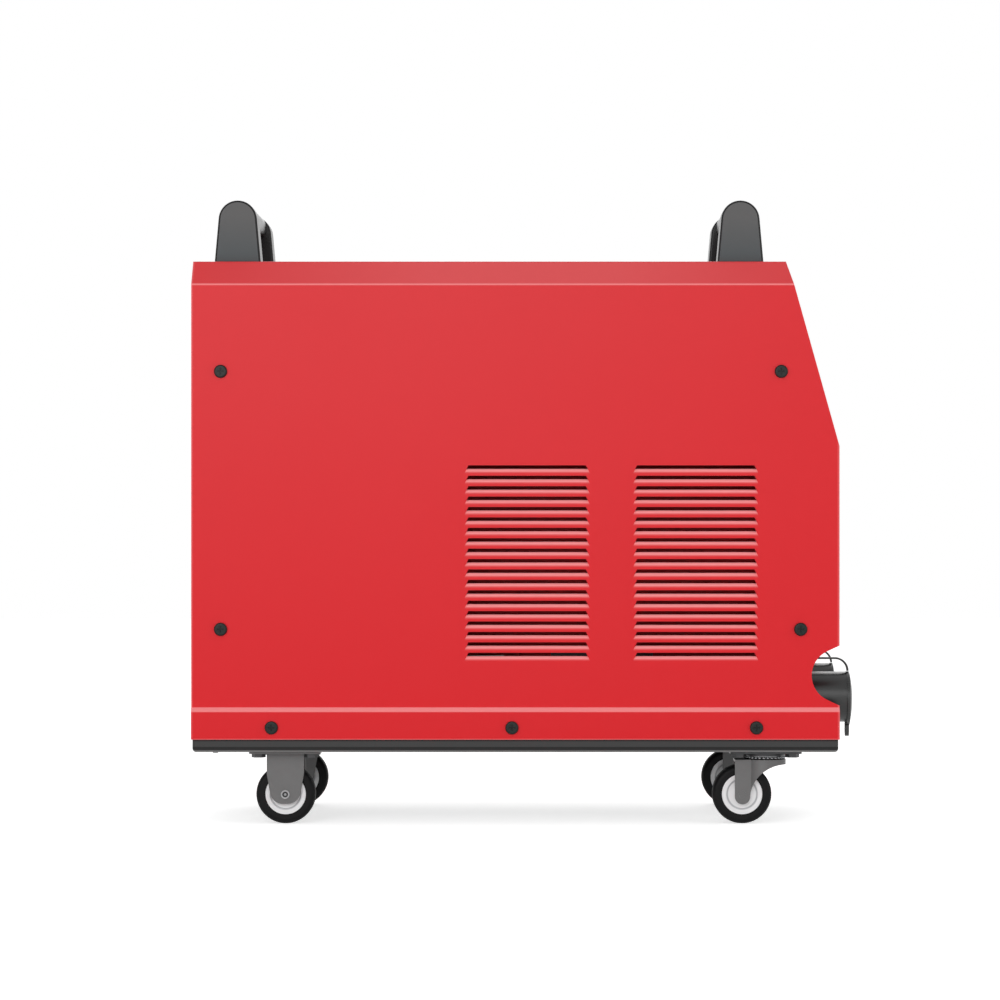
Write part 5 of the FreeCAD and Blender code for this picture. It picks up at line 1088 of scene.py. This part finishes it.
@as_finish
def hood_powder(place, low_colour, high_colour, highlight_colour):
    """Semi-gloss red powder coat, with a painted gradient of light up the side, and painted highlights
    along its folds, edges, step, bevel and louvre flaps.
    """
    length, across, up = along(place, "X"), abs(along(place, "Y")), along(place, "Z")
    peel = noise(place, 0.0035, 1.0)
    grain = noise(place, 0.0006)
    cloud = noise(place, 0.14, 3.0)
    # Painted gradient of light: paler towards the top of the side.
    colours = mixed(rise(up, hood_low.z + 0.01, hood_side_top), low_colour, high_colour)
    colours = mixed(cloud * 0.05, colours, shaded(low_colour, 0.8))
    # Painted highlights along the bottom hem and the rear and front edges.
    hem_highlight = 1 - rise(up, hood_low.z + 0.0004, hood_low.z + 0.0012)
    rear_edge_highlight = 1 - rise(length, hood_low.x + 0.0004, hood_low.x + 0.0020)
    front_edge_highlight = rise(length, hood_high.x - 0.0026, hood_high.x - 0.0004)
    colours = mixed((hem_highlight | rear_edge_highlight | front_edge_highlight) * 0.45, colours, highlight_colour)
    # Painted highlight along the fold between the side and the bevel.
    bevel_fold_highlight = band(up, hood_side_top - 0.0009, hood_side_top + 0.0009, 0.0004)
    bevel_fold_highlight = bevel_fold_highlight * rise(across, side_face - 0.0030, side_face - 0.0020)
    colours = mixed(bevel_fold_highlight * 0.8, colours, highlight_colour)
    # Painted highlight on the joggled step above the skirt.
    step = band(up, hood_step_bottom - 0.0002, hood_step_top + 0.0002, 0.0005)
    step = step * rise(across, side_face - 0.0010, side_face - 0.0002)
    colours = mixed(step, colours, highlight_colour)
    # Painted sheen on the bevel, strongest in its middle.
    bevel = band(up, hood_side_top + 0.0005, hood_high.z - 0.0008, 0.0005)
    middle = 1 - rise(abs(length), 0.10, 0.36)
    colours = mixed(bevel * (0.08 + middle * 0.18), colours, highlight_colour)
    louvred = band(length, louvres_rear, louvres_front, 0.002)
    louvred = louvred * (1 - rise(up, louvres_top - 0.005, louvres_top + 0.005))
    # Painted highlight on the louvre flaps, palest towards their tips.
    flap_highlight = (1 - rise(across, side_face - 0.00075, side_face - 0.00003)) * louvred
    colours = mixed(flap_highlight, colours, shaded(highlight_colour, 1.16))
    roughness = 0.34 + (grain - 0.5) * 0.08 + (cloud - 0.5) * 0.05
    height = peel * 0.00001 + grain * 0.000003
    return surface(colours, roughness, 0.0, height, Specular_IOR_Level=0.2)


# The third colour is the painted highlight along the folds, edges, step and flaps.
hood_finish = hood_powder("hood powder coat", srgb(220, 28, 37), srgb(216, 38, 45), srgb(248, 142, 144))
give(hood_finish, "hood_cover")


# Case screws: pan heads in black oxide, with cross recesses, along the skirts and up the sides.
# The rest hold the control panel's lap, the fan with its guard, and the feet on the tray's floor.

@as_finish
def black_oxide(place):
    """Oiled black oxide: near black, with fine rubbed grain, and a painted highlight on its crown."""
    rubbed = noise(place, 0.0011, 3.0)
    grain = noise(place, 0.0003)
    on_skirt = 1 - rise(along(place, "Z"), hood_step_bottom - 0.002, hood_step_bottom)
    proud = abs(along(place, "Y")) - on_skirt * hood_joggle
    # Painted highlight on the screw heads' crowns.
    crown_highlight = rise(proud, side_face + 0.0024, side_face + 0.0033)
    colours = mixed(rubbed, srgb(13, 14, 14), srgb(22, 24, 23))
    colours = mixed(crown_highlight, colours, srgb(25, 30, 28))
    roughness = 0.34 + (grain - 0.5) * 0.16
    return surface(colours, roughness, 0.2, grain * 0.000006, Specular_IOR_Level=0.25)


give(black_oxide("screw black"), "case_screws")


# Handle ends: four moulded cheeks on the hood's top, each held by two bolts from inside.
# Their outer faces are flat, matt and mid grey, with a painted gradient of light up them, and their rounded
# edges are painted black as shade.

@as_finish
def two_shot_moulding(place, face, bottom):
    """A grey outer face with a painted gradient of light towards its top, inside a glossy edge painted
    black as shade.
    """
    outer = rise(abs(along(place, "Y")), face - 0.00003, face - 0.00001)
    spark = noise(place, 0.0006)
    # Painted gradient of light: the face paler towards its top.
    top_light = rise(along(place, "Z"), bottom + 0.004, bottom + 0.050)
    grey = mixed(top_light, srgb(76, 82, 84), srgb(92, 92, 92))
    black = mixed(noise(place, 0.02, 3.0), srgb(12, 12, 13), srgb(20, 20, 21))
    # Off the flat outer face the cheek is near black: painted shade on its rounded edge.
    colours = mixed(outer, black, grey)
    roughness = 0.24 + outer * 0.26 + (spark - 0.5) * 0.1
    return surface(colours, roughness, 0.0, spark * 0.000008, Specular_IOR_Level=0.2)


handle_low, handle_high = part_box("handle_ends")
give(two_shot_moulding("handle cheeks", handle_high.y, handle_low.z), "handle_ends")


# Grips: two black bars moulded with a full rounded section, held between the cheeks.
# Their ends sit in pockets in the cheeks, and they shine more than the cheeks' outer faces.

give(moulded_black("grip moulding", srgb(19, 19, 20), 0.78, 0.000004), "front_grip", "rear_grip")


# Studio: a pale floor, a soft dome of light, three large softboxes and a camera square to the side.
# The camera stands where the photograph was taken from, a little below the middle of the case.

def seen_rays(start):
    """1 for the rays that are seen: the camera's own, and those that gloss and glass pass to it."""
    camera_ray, glossy_ray, through_ray = (
        start.node("LightPath", None, f"Is {kind} Ray")
        for kind in ("Camera", "Glossy", "Transmission")
    )
    return camera_ray | glossy_ray | through_ray


@as_finish
def stage_floor(place, glow_level):
    """Pale seamless floor: it takes the shadows, and reads as white paper round them."""
    paper = mixed(noise(place, 0.3), (0.84, 0.84, 0.84, 1.0), (0.88, 0.88, 0.88, 1.0))
    light = {"Color": srgb(255, 255, 255), "Strength": seen_rays(place) * glow_level}
    return place.node("AddShader", {0: surface(paper, 0.9), 1: place.node("Emission", light)})


floor_size = 14.0
floor_level = -0.0002
floor = begin(bpy.ops.mesh.primitive_plane_add, size=floor_size, location=(0.0, 0.0, floor_level))
floor.name = "studio_floor"
floor.data.materials.append(stage_floor("studio floor", 0.62))

dome_level = 0.5
world = bpy.data.worlds.new("studio dome")
bpy.context.scene.world = world
world.use_nodes = True
world.node_tree.nodes.clear()
sky = Signal(world.node_tree)
sky_level = dome_level + seen_rays(sky) * (1.0 - dome_level)
backdrop = sky.node("Background", {"Color": srgb(255, 255, 255), "Strength": sky_level})
sky.node("OutputWorld", {"Surface": backdrop})

case_middle = Vector((0.0, 0.0, 0.34))
for name, size, power, where in (
    ("key softbox", (2.8, 1.6), 43.0, (-0.8, -3.3, 1.25)),
    ("fill softbox", (2.2, 1.6), 16.0, (2.8, -1.6, 1.1)),
    ("back softbox", (2.6, 1.8), 22.0, (0.4, 2.8, 2.0)),
):
    lamp = bpy.data.lights.new(name, "AREA")
    lamp.shape = "RECTANGLE"
    lamp.size, lamp.size_y = size
    lamp.energy = power
    softbox = linked(name, lamp)
    softbox.location = where
    softbox.rotation_euler = (case_middle - Vector(where)).to_track_quat("-Z", "Y").to_euler()

camera_height = 0.338
camera_distance = 4.06
optical_axis = 0.0066
camera_data = bpy.data.cameras.new("camera")
camera_data.lens = 132.6
camera_data.sensor_width = 36.0
camera_data.shift_x = -0.030
camera_data.shift_y = 0.0065
camera_data.clip_end = 100.0
camera = linked("camera", camera_data)
camera.location = (optical_axis, -camera_distance, camera_height)
camera.rotation_euler = (math.radians(90.0), 0.0, 0.0)
bpy.context.scene.camera = camera
bpy.context.scene.view_settings.view_transform = "Standard"
